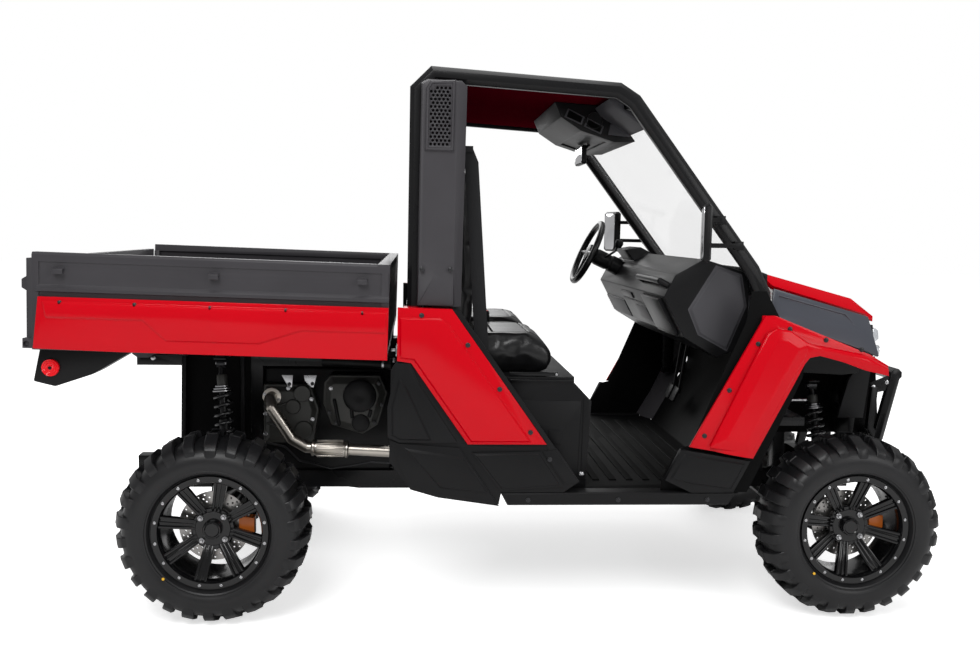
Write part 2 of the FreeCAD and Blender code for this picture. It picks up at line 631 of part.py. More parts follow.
def build_bulkhead():
    """Front shock towers with their cross tube, and the two posts under the cowl."""
    low = RAIL_TOP_Z + FIT_GAP
    shock_z = FRONT_SHOCK_TOP_Z
    pieces = [box(BULKHEAD_FRONT, BULKHEAD_FRONT + POST, -RAIL_OUTER, RAIL_OUTER, shock_z - 10, shock_z + 30)]
    posts = []
    head = shock_z + SHOCK_EYE_RADIUS + FIT_GAP
    for s in (-1, 1):
        for x in (BULKHEAD_REAR, BULKHEAD_FRONT):
            pieces.append(box(x, x + POST, s * RAIL_INNER, s * RAIL_OUTER, low, shock_z + 30))
        pieces.append(box(BULKHEAD_REAR, BULKHEAD_FRONT + POST, s * RAIL_INNER, s * RAIL_OUTER,
                          shock_z - 10, shock_z + 30))
        pieces.append(plan_plate([(WHEELBASE - 66, s * (RAIL_OUTER - 1)),
                                  (WHEELBASE + 6, s * (RAIL_OUTER - 1)),
                                  (WHEELBASE - 8, s * (SHOCK_Y_TOP + 26)),
                                  (WHEELBASE - 52, s * (SHOCK_Y_TOP + 26))],
                                 head, head + 7))
        posts.append(box(COWL_X, COWL_X + 40, s * RAIL_INNER, s * RAIL_OUTER, low, COWL_Z - FIT_GAP))
    export("front_bulkhead", [fused(pieces), *posts])


def build_floor():
    """Floor with its toe board, and the two side steps."""
    z0 = FLOOR_TOP_Z - FLOOR_THICKNESS
    floor = box(880, 1830, -690, 690, z0, FLOOR_TOP_Z)
    toe = side_plate([(1829, z0), (1844, z0), (2010, 760), (2010, 1000), (1996, 1000), (1996, 766),
                      (1838, FLOOR_TOP_Z + 6), (1829, FLOOR_TOP_Z)], -590, 590)
    export("floor_pan", fused([floor, toe]))
    outer, inner = -STEP_OUTER_Y, -STEP_OUTER_Y + STEP_WIDTH
    low = STEP_TOP_Z - STEP_HEIGHT
    bar = lengthwise([(outer, low + 7), (outer, STEP_TOP_Z - 5), (outer + 6, STEP_TOP_Z), (inner, STEP_TOP_Z),
                      (inner, low + 12), (outer + 10, low)], 980, 1796)
    ends = side_plate([(980, STEP_TOP_Z + 1), (980, STEP_TOP_Z - 4), (1004, low - 1), (1773, low - 1),
                       (1796, STEP_TOP_Z - 8), (1796, STEP_TOP_Z + 1)], outer - 1, inner + 1)
    export("side_steps", pair(bar.common(ends)))


def build_cage():
    """Roll cage hoops along both sides and the cross tubes between them."""
    side = pipe(side_ring(CAGE_LINE, -CAGE_Y), CAGE_TUBE / 2)
    foot_top = CAGE_FOOT_Z + CAGE_FOOT_HEIGHT
    foot = box(648, 702, -CAGE_OUTER, CAGE_OUTER, CAGE_FOOT_Z, foot_top)
    front_foot = box(1886, COWL_X + 40, -CAGE_OUTER, -CAGE_INNER, COWL_Z, COWL_Z + 30)
    cross = [pipe([V(x, -CAGE_Y, z), V(x, CAGE_Y, z)], CROSS_TUBE_RADIUS)
             for x, z in ((676, 1560), (716, 1872), (1416, 1822), (1890, 1180))]
    bridge = box(COWL_X, COWL_X + 40, -CAGE_OUTER, CAGE_OUTER, COWL_Z, COWL_Z + 30)
    export("roll_cage", fused([side, mirrored(side), foot, front_foot, mirrored(front_foot), bridge, *cross]))


def build_roof():
    """Roof panel between the cage rails, windscreen glass, and the overhead console."""
    y = ROOF_SEAM_Y
    roof = side_plate([(742, 1880), (1385, 1845), (1385, 1860), (742, 1896)], -y, y)
    crown = skinned([[V(780, -y + 60, 1893), V(1350, -y + 60, 1861), V(1350, y - 60, 1861),
                      V(780, y - 60, 1893)],
                     [V(810, -y + 110, 1900), V(1310, -y + 110, 1872), V(1310, y - 110, 1872),
                      V(810, y - 110, 1900)]])
    export("roof_panel", fused([roof, crown]))
    glass = side_plate([(1448, 1800), (1453, 1804), (1872, 1262), (1867, 1258)], -y, y)
    export("windscreen", glass)
    console = side_plate([(1190, 1855.2), (1215, 1800), (1290, 1752), (1420, 1712), (1500, 1716),
                          (1445, 1785), (1395.7, 1801.5), (1395.7, 1842), (1384, 1844.7)], -330, 330)
    pocket = side_plate([(1300, 1741), (1400, 1710), (1404, 1724), (1304, 1755)], -250, 250)
    export("overhead_console", console.cut(pocket))


def build_pillar_covers():
    """Rear pillar covers outside the cage, each with its sunk grille and flared foot."""
    back = -CAGE_OUTER - FIT_GAP
    column = skinned([side_ring([(684, 1119), (692, 1856), (712, 1868), (826, 1865), (844, 1847),
                                 (834, 1114)], back),
                      side_ring([(684, 1119), (692, 1856), (712, 1868), (826, 1865), (844, 1847),
                                 (834, 1114)], -700),
                      side_ring([(688, 1119), (697, 1848), (715, 1860), (806, 1858), (812, 1846),
                                 (806, 1114)], -720)])
    grille = raised([(704, 1630), (706, 1835), (722, 1861), (806, 1865), (803, 1629)], -719, -730, 5)
    sunk = side_plate([(715, 1642), (717, 1832), (727, 1850), (795, 1853), (792, 1641)], -731, -726)
    foot = skinned([side_ring([(686, 1119), (695, 1269), (805, 1257), (812, 1119)], -719),
                    side_ring([(690, 1119), (742, 1219), (790, 1200), (806, 1119)], -731)])
    export("pillar_covers", pair(fused([column, grille, foot]).cut(sunk)))


def build_side_panels():
    """Red quarter panels behind the doorways, and the black cladding under and before them."""
    out, flange, back = -PANEL_Y, -FLANGE_Y, -PANEL_BACK_Y
    quarter = side_plate([(621, 1112), (803, 1108), (1132, 650), (862, 650), (668, 926), (621, 933)],
                         flange, back)
    field = raised([(626, 1081), (762, 1080), (792, 1060), (1082, 657), (872, 657), (676, 935), (628, 941)],
                   flange + 1, out, 7)
    shelf = side_plate([(640, 1112), (803, 1108), (806, 1088), (640, 1090)], back - 1, -CAGE_OUTER - FIT_GAP)
    export("quarter_panels", pair(fused([quarter, field, shelf])))
    step_top = STEP_TOP_Z + FIT_GAP
    backing = side_plate([(600, 900), (621, 932.6), (667.8, 925.6), (861.8, 649.6), (1142, 649.6),
                          (1171, 630),
                          (1250, 519), (1195, step_top), (979.6, step_top), (972, 440), (767, 466),
                          (669, 494), (597, 589), (600, 775)], flange + 8, back + 4)
    upper = side_plate([(590, 775), (621, 925), (664, 925), (698, 849), (826, 656), (630, 656), (592, 674)],
                       flange, flange + 9)
    upper_field = raised([(603, 780), (628, 880), (655, 845), (741, 662), (632, 664), (604, 680)],
                         flange + 1, out, 7)
    lower = side_plate([(597, 664), (630, 652), (834, 638), (972, 436), (764, 466), (669, 494)], flange,
                       flange + 9)
    lower_field = raised([(647, 638), (850, 606), (944, 478), (770, 498)], flange + 1, out, 8)
    kick = side_plate([(877, 621), (1113, 626), (1195, 504), (975, 489)], flange, flange + 9)
    kick_field = raised([(885, 616), (1108, 620), (1184, 508), (981, 494)], flange + 1, flange - 4, 4)
    corner = side_plate([(1120, 626), (1157, 630), (1250, 519), (1200, 512)], flange + 4, flange + 9)
    strip = side_plate([(803.4, 1108), (829, 1103), (1165, 634), (1140, 628), (1132.4, 650)], flange + 5,
                       back + 4)
    cladding = fused([backing, upper, upper_field, lower, lower_field, kick, kick_field, corner, strip])
    ahead = side_plate([(1600, 632), (1846, 592), (1790, step_top), (1640, step_top), (1548, 525)],
                       flange, back + 6)
    ahead_field = raised([(1612, 620), (1830, 586), (1780, 492), (1640, 512), (1562, 530)], flange + 1,
                         out, 7)
    export("side_cladding", pair(cladding) + pair(fused([ahead, ahead_field])))


def hood_side_corners():
    """The outer corners of the right-hand panel beside the hood, and the direction into the body."""
    a, b, d = V(1975, -560, 1184), V(2334, -560, 1086), V(1941, -632, 1088)
    inward = (b - a).cross(d - a).normalize()
    c = V(2340, -650, 952)
    return a, b, c - inward * (c - a).dot(inward), d, inward


def build_front_fenders():
    """Front fenders: a bolted border, a bulging arch on it, a deck and ledge inboard, and arch liners."""
    out, back = -PANEL_Y - 3, -736
    border_y = -748
    rear_edge = [(1880, 1098), (1632, 640)]
    arch = [(1853, 603), (1990, 872), (2021, 936), (2038, 957), (2073, 964), (2110, 955), (2160, 942),
            (2240, 914), (2323, 896)]
    top_edge = [(2326, 930), (2259, 968), (1917, 1099)]
    border = side_plate([*rear_edge, *arch, *top_edge], border_y, back)
    foot = [(1712, 627), (1842, 930), (1896, 1046), (1924, 1057), (1970, 1042), (2026, 1007),
            (2119, 991), (2240, 968), (2320, 928)]
    middle = [(1756, 619), (1884, 916), (1936, 1018), (1958, 1030), (1994, 1022), (2048, 1000), (2126, 986),
              (2240, 963), (2319, 924)]
    crease = [(1818, 609), (1955, 908), (1991, 985), (2010, 993), (2033, 997), (2085, 986), (2141, 974),
              (2240, 950), (2318, 918)]
    rings = []
    for f, m, c, e in zip(foot, middle, crease, arch):
        rings.append([V(f[0], border_y + 1, f[1]), V(m[0], out + 6, m[1]), V(c[0], out, c[1]),
                      V(e[0], out + 6, e[1]), V(e[0], border_y + 2, e[1])])
    deck = side_plate([(1876, 1098), (1917, 1099), (2259, 968), (2324, 930), (2323, 905), (2250, 942),
                       (1905, 1074), (1872, 1072)], back - 1, -656)
    leg = box(1800, 1912 + CAGE_TUBE / 2 + FIT_GAP, -CAGE_OUTER - FIT_GAP, -600, 1000, 1200)
    _, _, c, d, inward = hood_side_corners()
    rear, front = [p + inward * HOOD_SIDE_THICKNESS for p in (d, c)]
    slope = (front.z - rear.z) / (front.x - rear.x)
    top = [(x, rear.z + (x - rear.x) * slope - FIT_GAP) for x in (1945, 2250)]
    ledge = side_plate([*top, *((x, z - 12) for x, z in reversed(top))], -657, -626)
    export("front_fenders", pair(fused([border, skinned(rings), deck.cut(leg), ledge])))
    gap = FIT_GAP
    liner = side_plate([(2011, 1026), (2250, 935), (2300, 905), (2300, 880), (2240, 872), (2080, 880),
                        (2050, 811), (2026, 772), (2011, 800)], -580, -572)
    roof = side_plate([(1950, 1056 - gap), (2250, 941.7 - gap), (2318, 906.7 - gap), (2316, 900), (2248, 933),
                       (1950, 1048)], -734, -572)
    export("wheel_arch_liners", pair(fused([liner, roof])))


def build_front_panels():
    """The hood's grey side panels, and the front fascia with its lamps."""
    a, b, c, d, inward = hood_side_corners()
    back = inward * HOOD_SIDE_THICKNESS
    panel = skinned([[a, b, c, d], [p + back for p in (a, b, c, d)]])
    u, v = b - a, d - a
    spots = [a + u * s + v * t for s, t in ((0.06, 0.20), (0.76, 0.17), (0.93, 0.62), (0.10, 0.70))]
    depths = [-7, -7, 0.5, 0.5]
    recess = skinned([[p - inward * 1 for p in spots], [p - inward * q for p, q in zip(spots, depths)]])
    export("hood_side_panels", pair(panel.cut(recess)))
    y = FASCIA_Y
    upper = side_plate([(2262, 700), (2360, 700), (2386, 940), (2378, 1050), (2345, 1050), (2330, 900),
                        (2296, 840)],
                       -y, y)
    lower = side_plate([(2345, 600), (2360, 600), (2372, 700), (2345, 701)], -425, 425)
    hollow = side_plate([(2240, 690), (2344.3, 690), (2346, 800), (2362, 940), (2356, 1060), (2240, 1060)],
                        -y + 14, y - 14)
    mount = box(BULKHEAD_FRONT + POST + FIT_GAP, 2375, -RAIL_OUTER, RAIL_OUTER, 795, 825)
    slots = [side_plate([(2300, z), (2440, z), (2440, z + SLOT_HEIGHT), (2300, z + SLOT_HEIGHT)], -330, 330)
             for z in SLOT_FEET]
    lamp = skinned([[V(2366, -500, 988), V(2366, -385, 988), V(2366, -385, 1036), V(2366, -500, 1036)],
                    [V(2398, -500, 988), V(2398, -385, 988), V(2396, -385, 1036), V(2396, -500, 1036)],
                    [V(2412, -492, 996), V(2412, -393, 996), V(2408, -393, 1028), V(2408, -492, 1028)]])
    spot = pipe([V(2360, -468, 953), V(2421, -468, 953)], 17, 10)
    pocket = box(2366 - FIT_GAP, 2450, -500 - FIT_GAP, -385 + FIT_GAP, 988 - FIT_GAP, 1036 + FIT_GAP)
    socket = pipe([V(2360 - FIT_GAP, -468, 953), V(2450, -468, 953)], 17 + FIT_GAP, 10)
    fascia = fused([upper.cut(hollow), lower, mount])
    seat = box(2345, 2368, -y + 1, -370, 930, 1049)
    shell = side_plate([(2345, 700), (2362, 930), (2386, 940), (2378, 1050), (2345, 1050)], -y + 1, -370)
    seats = pair(seat.common(shell))
    export("front_fascia", fused([fascia.cut(Part.makeCompound(slots)), *seats]).cut(
        Part.makeCompound(pair(pocket) + pair(socket))))
    export("headlamps", pair(lamp) + pair(spot))


def build_hood():
    """The bonnet, hinged at its rear edge, with its folded-down sides, and the cowl behind it."""
    x, z = HOOD_HINGE
    top = side_plate([(1935, 1240), (2292, 1147), (2380, 1082), (2380, 1062), (2282, 1126),
                      (1935, 1216)], -500, 500)
    ring = [V(1935, -499, 1240), V(2292, -499, 1147), V(2330, -551, 1093), V(1972, -551, 1193)]
    inner = [p + V(0, 16, -14) for p in ring]
    hinges = [rod(V(x, s * 300, z), V(x, s * 360, z), HOOD_HINGE_RADIUS) for s in (-1, 1)]
    export("hood", fused([top, *pair(skinned([ring, inner])), *hinges]))
    front = x - HOOD_HINGE_RADIUS - FIT_GAP
    cowl = side_plate([(1868, 1258), (front, 1236), (front, 1196), (1918, 1196), (1918, 1225), (1868, 1243)],
                      -ROOF_SEAM_Y, ROOF_SEAM_Y)
    export("cowl_panel", cowl)


def build_guard():
    """Tubular brush guard on two plates in front of the fascia."""
    r = GUARD_TUBE_RADIUS
    top_x, top_z = GUARD_TOP
    foot_x, foot_z = GUARD_FOOT
    pieces = [pipe([V(foot_x, -GUARD_Y, foot_z), V(foot_x, GUARD_Y, foot_z)], r),
              pipe([V(top_x, -GUARD_Y - 14, top_z), V(top_x, GUARD_Y + 14, top_z)], r)]
    for s in (-1, 1):
        y = s * GUARD_Y
        pieces.append(pipe([V(foot_x, y, foot_z), V(top_x, y, top_z)], r - 3, 6))
        pieces.append(side_plate([(2434, 815), (2512, 848), (2520, 790), (2458, 778)], y - 3, y + 3))
        pieces.append(pipe([V(2450, y, 800), V(2440, y, 640), V(foot_x - 4, y, foot_z)], 12, 4))
        pieces.append(side_plate([(RAIL_FRONT + FIT_GAP, 384), (2440, 384), (2492, 600), (2492, 616),
                                  (2456, 616), (RAIL_FRONT + FIT_GAP, RAIL_TOP_Z)], s * 235, s * 265))
    export("brush_guard", fused(pieces))


def build_seats():
    """Seat base with the cab's rear wall, the two seats and their belts."""
    base_foot = FLOOR_TOP_Z + FIT_GAP
    base = side_plate([(880, base_foot), (880, 560), (652, 690), (652, SEAT_BASE_Z), (1240, SEAT_BASE_Z),
                       (1240, 846), (1303, 781), (1290, base_foot)], -640, 640)
    inside = side_plate([(894, 470), (894, 568), (666, 698), (666, 852), (1228, 852), (1228, 840),
                         (1290, 776), (1277, 470)], -626, 626)
    notch = box(640, 712, -700, -606, 600, 900)
    wall = box(648, 660, -606, 606, 700, 1112)
    body = fused([base.cut(inside).cut(Part.makeCompound(pair(notch))), wall])
    door = raised([(915, 783), (1270, 783), (1262, 512), (915, 512)], -639, -643, 3)
    latch = side_plate([(1155, 676), (1198, 676), (1198, 628), (1155, 628)], -647, -641)
    edge = side_plate([(1276, 788), (1303, 781), (1290, 500), (1272, 500)], -644, -639)
    rim = side_plate([(1004, SEAT_BASE_Z), (1238, SEAT_BASE_Z), (1238, 850), (1004, 852)], -646, -639)
    export("seat_base", fused([body, *pair(door), *pair(latch), *pair(edge), *pair(rim)]))
    cushions = cushion([(850, SEAT_BASE_Z + FIT_GAP), (1164, SEAT_BASE_Z + FIT_GAP), (1184, 900),
                        (1183, 942), (1158, 974),
                        (1110, 998), (1060, 1010), (862, 1004)], -SEAT_OUTER_Y, -SEAT_INNER_Y, 18)
    export("seat_cushions", pair(cushions))
    back = cushion([(735, 912), (846, 990), (884, 1130), (874, 1400), (846, 1600), (806, 1640), (758, 1630),
                    (712, 1300), (708, 930)], -SEAT_OUTER_Y, -SEAT_INNER_Y, 18)
    mount = side_plate([(708, SEAT_BASE_Z + FIT_GAP), (790, SEAT_BASE_Z + FIT_GAP), (790, 990),
                        (712, 940)], -560, -100)
    export("seat_backs", pair(fused([back, mount])))
    outer = -BELT_Y - BELT_THICKNESS
    line = [(846, 1652), (868, 1600), (921, SEAT_BASE_Z + FIT_GAP + 2)]
    belt = side_bar(line, BELT_WIDTH, outer, -BELT_Y)
    guide = box(822, 872, -CAGE_INNER + FIT_GAP, -BELT_Y, 1640, 1660)
    arm = box(704, 872, -CAGE_INNER + FIT_GAP, -BELT_Y - 4, 1642, 1656)
    export("seat_belts", pair(fused([belt, guide, arm])))


def bar_outline(line, width):
    """The closed outline of a mitred bar of the given width along a line of (x, z) points."""
    left, right = [], []
    for i, (x, z) in enumerate(line):
        before = line[max(i - 1, 0)]
        after = line[min(i + 1, len(line) - 1)]
        dirs = []
        for (xa, za), (xb, zb) in ((before, (x, z)), ((x, z), after)):
            run = math.hypot(xb - xa, zb - za)
            if run > 0:
                dirs.append(((xb - xa) / run, (zb - za) / run))
        dx = sum(d[0] for d in dirs)
        dz = sum(d[1] for d in dirs)
        size = math.hypot(dx, dz)
        nx, nz = -dz / size, dx / size
        reach = width / 2 / abs(nx * -dirs[0][1] + nz * dirs[0][0])
        left.append((x + nx * reach, z + nz * reach))
        right.append((x - nx * reach, z - nz * reach))
    return left + right[::-1]


def side_bar(line, width, y0, y1):
    """A mitred bar in a side view, from y0 to y1."""
    return side_plate(bar_outline(line, width), y0, y1)


def build_dash():
    """Dashboard with its steering column, glove box lid and steering wheel."""
    outline = [(1600, 1228), (1700, 1286), (1862, 1240), (1869.7, 1196), (1869.7, 980), (1760, 933),
               *DASH_FACE]
    dash = side_plate(outline, -DASH_Y, DASH_Y)
    ends = pair(raised([(1651, 1106), (1745, 1262), (1838, 1232), (1860, 1120), (1796, 960), (1690, 1017)],
                       -DASH_Y + 1, -DASH_Y - 10, 9))
    binnacle = side_plate([(1640, 1250), (1600, 1300), (1668, 1312), (1742, 1274)], WHEEL_Y - 110,
                          WHEEL_Y + 110)
    centre = V(WHEEL_X, WHEEL_Y, WHEEL_Z)
    tilt = math.radians(WHEEL_TILT_DEG)
    axis = V(math.cos(tilt), 0, -math.sin(tilt))
    column = rod(centre + axis * (34 + FIT_GAP), centre + axis * 210, 34)
    export("dashboard", fused([dash, *ends, binnacle, column]))
    (x0, z0), (x1, z1) = DASH_FACE
    run = math.hypot(x1 - x0, z1 - z0)
    off = FIT_GAP + GLOVE_LID_THICKNESS / 2
    nx, nz = -(z1 - z0) / run * off, (x1 - x0) / run * off
    line = [(x0 + (x1 - x0) * t + nx, z0 + (z1 - z0) * t + nz) for t in (0.04, 0.08, 0.94)]
    lid = side_bar(line[1:], GLOVE_LID_THICKNESS, -540, -260)
    hinge = rod(V(line[0][0], -530, line[0][1]), V(line[0][0], -270, line[0][1]), GLOVE_HINGE_RADIUS)
    neck = side_bar(line[:2], 4, -530, -270)
    export("glove_box_lid", fused([lid, hinge, neck]))
    up = V(math.sin(tilt), 0, math.cos(tilt))
    side = V(0, 1, 0)
    rings = []
    for i in range(WHEEL_FLATS):
        a = 2 * math.pi * i / WHEEL_FLATS
        spoke = side * math.cos(a) + up * math.sin(a)
        rings.append([centre + spoke * (WHEEL_RADIUS + WHEEL_GRIP_RADIUS * math.cos(b))
                      + axis * (WHEEL_GRIP_RADIUS * math.sin(b))
                      for b in (k * math.pi / 2.5 for k in range(5))])
    grip = skinned(rings, loop=True)
    hub = pipe([centre - axis * 6, centre + axis * 34], 42)
    spokes = [pipe([centre + axis * 8, centre + d * WHEEL_RADIUS], 9, 4) for d in (side, side * -1, up * -1)]
    export("steering_wheel", fused([grip, hub, *spokes]))


def build_mirrors():
    """Door mirrors, each on two stalks clamped to the cage."""
    plan = [(1650, -722), (1677, -725), (1666, -790), (1642, -848), (1622, -850)]
    small = inset(plan, 7)
    head = skinned([[V(x, y, z) for x, y in ring] for z, ring in ((1281, small), (1291, plan), (1465, plan),
                                                                  (1475, small))])
    face = -CAGE_OUTER - FIT_GAP
    stalks = []
    for x, z in ((1728, 1423), (1795, 1336)):
        stalks.append(box(x - 15, x + 15, face - 26, face, z - 15, z + 15))
        stalks.append(pipe([V(x, face - 16, z), V(1660, -740, z)], 8, 4))
    export("mirrors", pair(fused([head, *stalks])))


def build_drivetrain():
    """Engine block, its covers and exhaust, the rear transaxle and the front differential."""
    side = -268 - FIT_GAP
    export("engine_block", box(112, 590, -268, 268, RAIL_TOP_Z + FIT_GAP, 838))
    gearbox = [(116, 783), (290, 784), (322, 690), (300, 560), (116, 560)]
    cover = fused([side_plate(gearbox, -330, side), raised(inset(gearbox, 8), -329, -352, 16)])
    belt = [(345, 800), (369, 826), (552, 826), (580, 760), (545, 640), (487, 604), (372, 640), (342, 720)]
    drive = fused([side_plate(belt, -378, side), raised(inset(belt, 6), -377, -402, 22)])
    export("engine_covers", [cover, drive])
    points = [V(150, -352 - FIT_GAP, 740), V(150, -404, 740), V(170, -436, 706), V(262, -445, 590),
              V(330, -450, 566), V(640, -450, 552)]
    rings = [pipe([points[4] + V(x, 0, -x * 0.045), points[4] + V(x + 12, 0, -(x + 12) * 0.045)],
                  PIPE_RADIUS + 6)
             for x in (30, 75, 120)]
    export("exhaust", fused([pipe(points, PIPE_RADIUS), *rings]))
    y = DIFFERENTIAL_Y
    export("transaxle", side_plate([(-100, 275), (60, 262), (112 - FIT_GAP, 300), (112 - FIT_GAP, 560),
                                    (40, 560), (-60, 470), (-100, 440)], -y, y))
    x = WHEELBASE
    export("front_differential", side_plate([(x - 84, 280), (x + 70, 272), (x + 95, 320),
                                             (x + 70, DIFFERENTIAL_TOP_Z), (x - 70, DIFFERENTIAL_TOP_Z),
                                             (x - 86, 380)], -y, y))


def raked(shape):
    """A copy turned nose down with the bed."""
    copy = shape.copy()
    copy.rotate(V(0, 0, BED_FLOOR_Z), V(0, 1, 0), BED_RAKE_DEG)
    return copy


def build_bed():
    """Cargo bed with its rim and tie-down hooks, the red side panels, tailgate and tail lamps."""
    y = BED_HALF_WIDTH
    wall = BED_WALL_Y
    rear, front = BED_REAR, BED_FRONT
    floor_z = BED_FLOOR_Z
    rim = BED_RIM_Z - BED_RIM_HEIGHT
    gate_x = rear - TAILGATE_GAP - TAILGATE_THICKNESS
    gate_mid = gate_x + TAILGATE_THICKNESS / 2
    pin_z = floor_z + 6
    shapes = [box(rear, front, -y, y, floor_z - BED_SHEET, floor_z),
              box(front - BED_RIM_WIDTH, front, -y, y, rim, BED_RIM_Z),
              box(front - 26, front - 4, -y, y, floor_z, rim)]
    for s in (-1, 1):
        shapes.append(box(rear, front, s * wall, s * (y - 4), floor_z, rim + 1))
        shapes.append(lengthwise([(s * (y - BED_RIM_WIDTH), rim), (s * y, rim), (s * y, BED_RIM_Z - 8),
                                  (s * (y - 6), BED_RIM_Z), (s * (y - BED_RIM_WIDTH), BED_RIM_Z)], rear,
                                  front))
        shapes.append(lengthwise([(s * (y - 6), 1137), (s * (y + 8), 1141), (s * (y + 8), 1152),
                                  (s * (y - 6), 1164)],
                                 rear + 14, front))
        shapes.append(box(rear, rear + 22, s * (wall - 20), s * y, floor_z, rim + 1))
        shapes.append(box(rear + 60, front, s * BED_RIB_Y, s * (BED_RIB_Y + 50), floor_z - BED_RIB_DEPTH,
                          floor_z - 4))
        for x in HOOK_STATIONS:
            shapes.append(lengthwise([(s * (y - 6), 1206), (s * (y + 16), 1198), (s * (y + 16), 1214),
                                      (s * (y + 8), 1214), (s * (y - 6), 1220)], x - 16, x + 16))
        ear = box(gate_x, rear + 4, s * (wall + 2), s * y, floor_z - 8, floor_z + 24)
        pin = pipe([V(gate_mid, s * wall, pin_z), V(gate_mid, s * (y + 1), pin_z)],
                   TAILGATE_HINGE_RADIUS + FIT_GAP)
        shapes.append(ear.cut(pin))
    outer = RAIL_OUTER
    lugs = []
    for s in (-1, 1):
        lugs.append(side_plate([(-370, 966), (-370, 890), (-350, 876), (-310, 876), (-290, 890), (-290, 966)],
                               s * (outer + 2), s * (outer + 26)))
        lugs.append(rod(V(BED_PIVOT_X, s * (outer - 16), BED_PIVOT_Z),
                        V(BED_PIVOT_X, s * (outer + 8), BED_PIVOT_Z),
                        BED_PIVOT_RADIUS))
    export("bed_box", fused([raked(fused(shapes)), *lugs]))
    skin = -BED_SIDE_PANEL_Y
    red = side_plate([(-532, 1124), (front, 1124), (front, 949), (-275, 951), (-548, 955)], skin,
                     -y - FIT_GAP)
    field = raised([(-520, 1112), (front - 3, 1112), (front - 3, 1036), (305, 1036), (170, 989), (-129, 989),
                    (-204, 1054), (-510, 1054)], skin + 1, skin - 7, 7)
    export("bed_side_panels", pair(raked(fused([red, field]))))
    gate = box(gate_x, rear - TAILGATE_GAP, -wall + 6, wall - 6, pin_z - TAILGATE_HINGE_RADIUS - 1, 1244)
    pressed = box(gate_x - 1, gate_x + 6, -wall + 80, wall - 80, 1010, 1200)
    pins = [rod(V(gate_mid, s * (wall - 8), pin_z), V(gate_mid, s * (y - 8), pin_z), TAILGATE_HINGE_RADIUS)
            for s in (-1, 1)]
    latches = [side_plate([(gate_x - 24, 1146), (gate_x - 24, 1174), (gate_x + 2, 1190), (gate_x + 2, 1130)],
                          s * 664, s * 706) for s in (-1, 1)]
    export("tailgate", raked(fused([gate.cut(pressed), *pins, *latches])))
    under = floor_z - BED_SHEET - FIT_GAP
    pod = side_plate([(-575, 836), (-505, 820), (-385, 864), (-250, under), (-553, under)], -706, -570)
    lamp = pipe([V(-517, -706 - 10, 884), V(-517, -706 - FIT_GAP, 884)], 29, 12)
    export("tail_lamp_pods", pair(raked(pod)))
    export("tail_lamps", pair(raked(lamp)))


def build():
    """Builds every node."""
    os.makedirs(OUT, exist_ok=True)
    build_wheels()
    build_suspension()
    build_chassis()
    build_subframe()
    build_bulkhead()
    build_floor()
    build_cage()
    build_roof()
    build_pillar_covers()
    build_side_panels()
    build_front_fenders()
    build_front_panels()
    build_hood()
    build_guard()
    build_seats()
    build_dash()
    build_mirrors()
    build_drivetrain()
    build_bed()
    write_all()


build()
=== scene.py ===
"""Dresses the side by side utility vehicle: finishes, eased panel edges, lugged tyres, spoked rims, padded
seats, springs, lamps, bolts and the other small parts.

Metres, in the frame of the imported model. Places are written in millimetres from the rear axle, with
heights from 343 mm under the axles' centres, and at() brings them into the frame. The right-hand side is
modelled first.
"""
import json
import math

import bpy
from mathutils import Matrix, Vector


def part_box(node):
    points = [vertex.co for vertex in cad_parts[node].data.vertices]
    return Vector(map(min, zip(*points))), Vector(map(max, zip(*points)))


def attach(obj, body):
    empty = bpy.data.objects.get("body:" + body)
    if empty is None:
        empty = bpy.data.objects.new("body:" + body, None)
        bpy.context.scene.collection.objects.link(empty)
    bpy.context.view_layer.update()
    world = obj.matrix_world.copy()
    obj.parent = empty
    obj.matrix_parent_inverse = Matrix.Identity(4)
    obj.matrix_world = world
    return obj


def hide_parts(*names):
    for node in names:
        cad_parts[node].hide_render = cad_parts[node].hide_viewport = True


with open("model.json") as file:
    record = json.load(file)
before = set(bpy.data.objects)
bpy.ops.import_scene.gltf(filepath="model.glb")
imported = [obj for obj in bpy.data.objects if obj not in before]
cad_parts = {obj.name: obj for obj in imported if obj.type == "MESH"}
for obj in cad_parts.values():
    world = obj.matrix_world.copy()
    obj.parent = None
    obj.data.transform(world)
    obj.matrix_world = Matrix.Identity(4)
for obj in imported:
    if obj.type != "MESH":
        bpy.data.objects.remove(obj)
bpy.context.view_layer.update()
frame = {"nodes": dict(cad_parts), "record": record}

NODES = frame["nodes"]
BODY_OF = {node: body for body, nodes in frame["record"]["behaviour"]["bodies"].items() for node in nodes}
WHEELBASE = 2240.0
AXLE_Z = 343.0
TYRE_RADIUS = 327.0
TYRE_OUTER_Y = 775
FLOOR_Z = AXLE_Z - TYRE_RADIUS
ORIGIN = Vector((0, 0, 0))
WELD = 0.00002


def rear_axle_x():
    """The rear axle's place along the frame, from the rear rim."""
    low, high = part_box("rim_rear_right")
    return (low[0] + high[0]) / 2


AXLE_X = rear_axle_x()


def at(x, y, z):
    """A place in the frame from millimetres ahead of the rear axle, to the left, and up."""
    return Vector((AXLE_X + x / 1000, y / 1000, (z - FLOOR_Z) / 1000))


def step(x, y, z):
    """A step in the frame from millimetres ahead, to the left, and up."""
    return Vector((x, y, z)) / 1000


# Shader nodes


def feed(tree, node, feeds):
    """Gives each named input its value, or the socket that drives it."""
    for label, value in feeds.items():
        if isinstance(value, bpy.types.NodeSocket):
            tree.links.new(value, node.inputs[label])
        else:
            node.inputs[label].default_value = value


def add(tree, kind, feeds=None, **settings):
    """A shader node of one kind with its settings and inputs."""
    node = tree.nodes.new("ShaderNode" + kind)
    for key, value in settings.items():
        setattr(node, key, value)
    feed(tree, node, feeds or {})
    return node


def new_material(name):
    """A material, its node tree and its shader."""
    material = bpy.data.materials.new(name)
    material.use_nodes = True
    return material, material.node_tree, material.node_tree.nodes["Principled BSDF"]


# Camera, floor and light

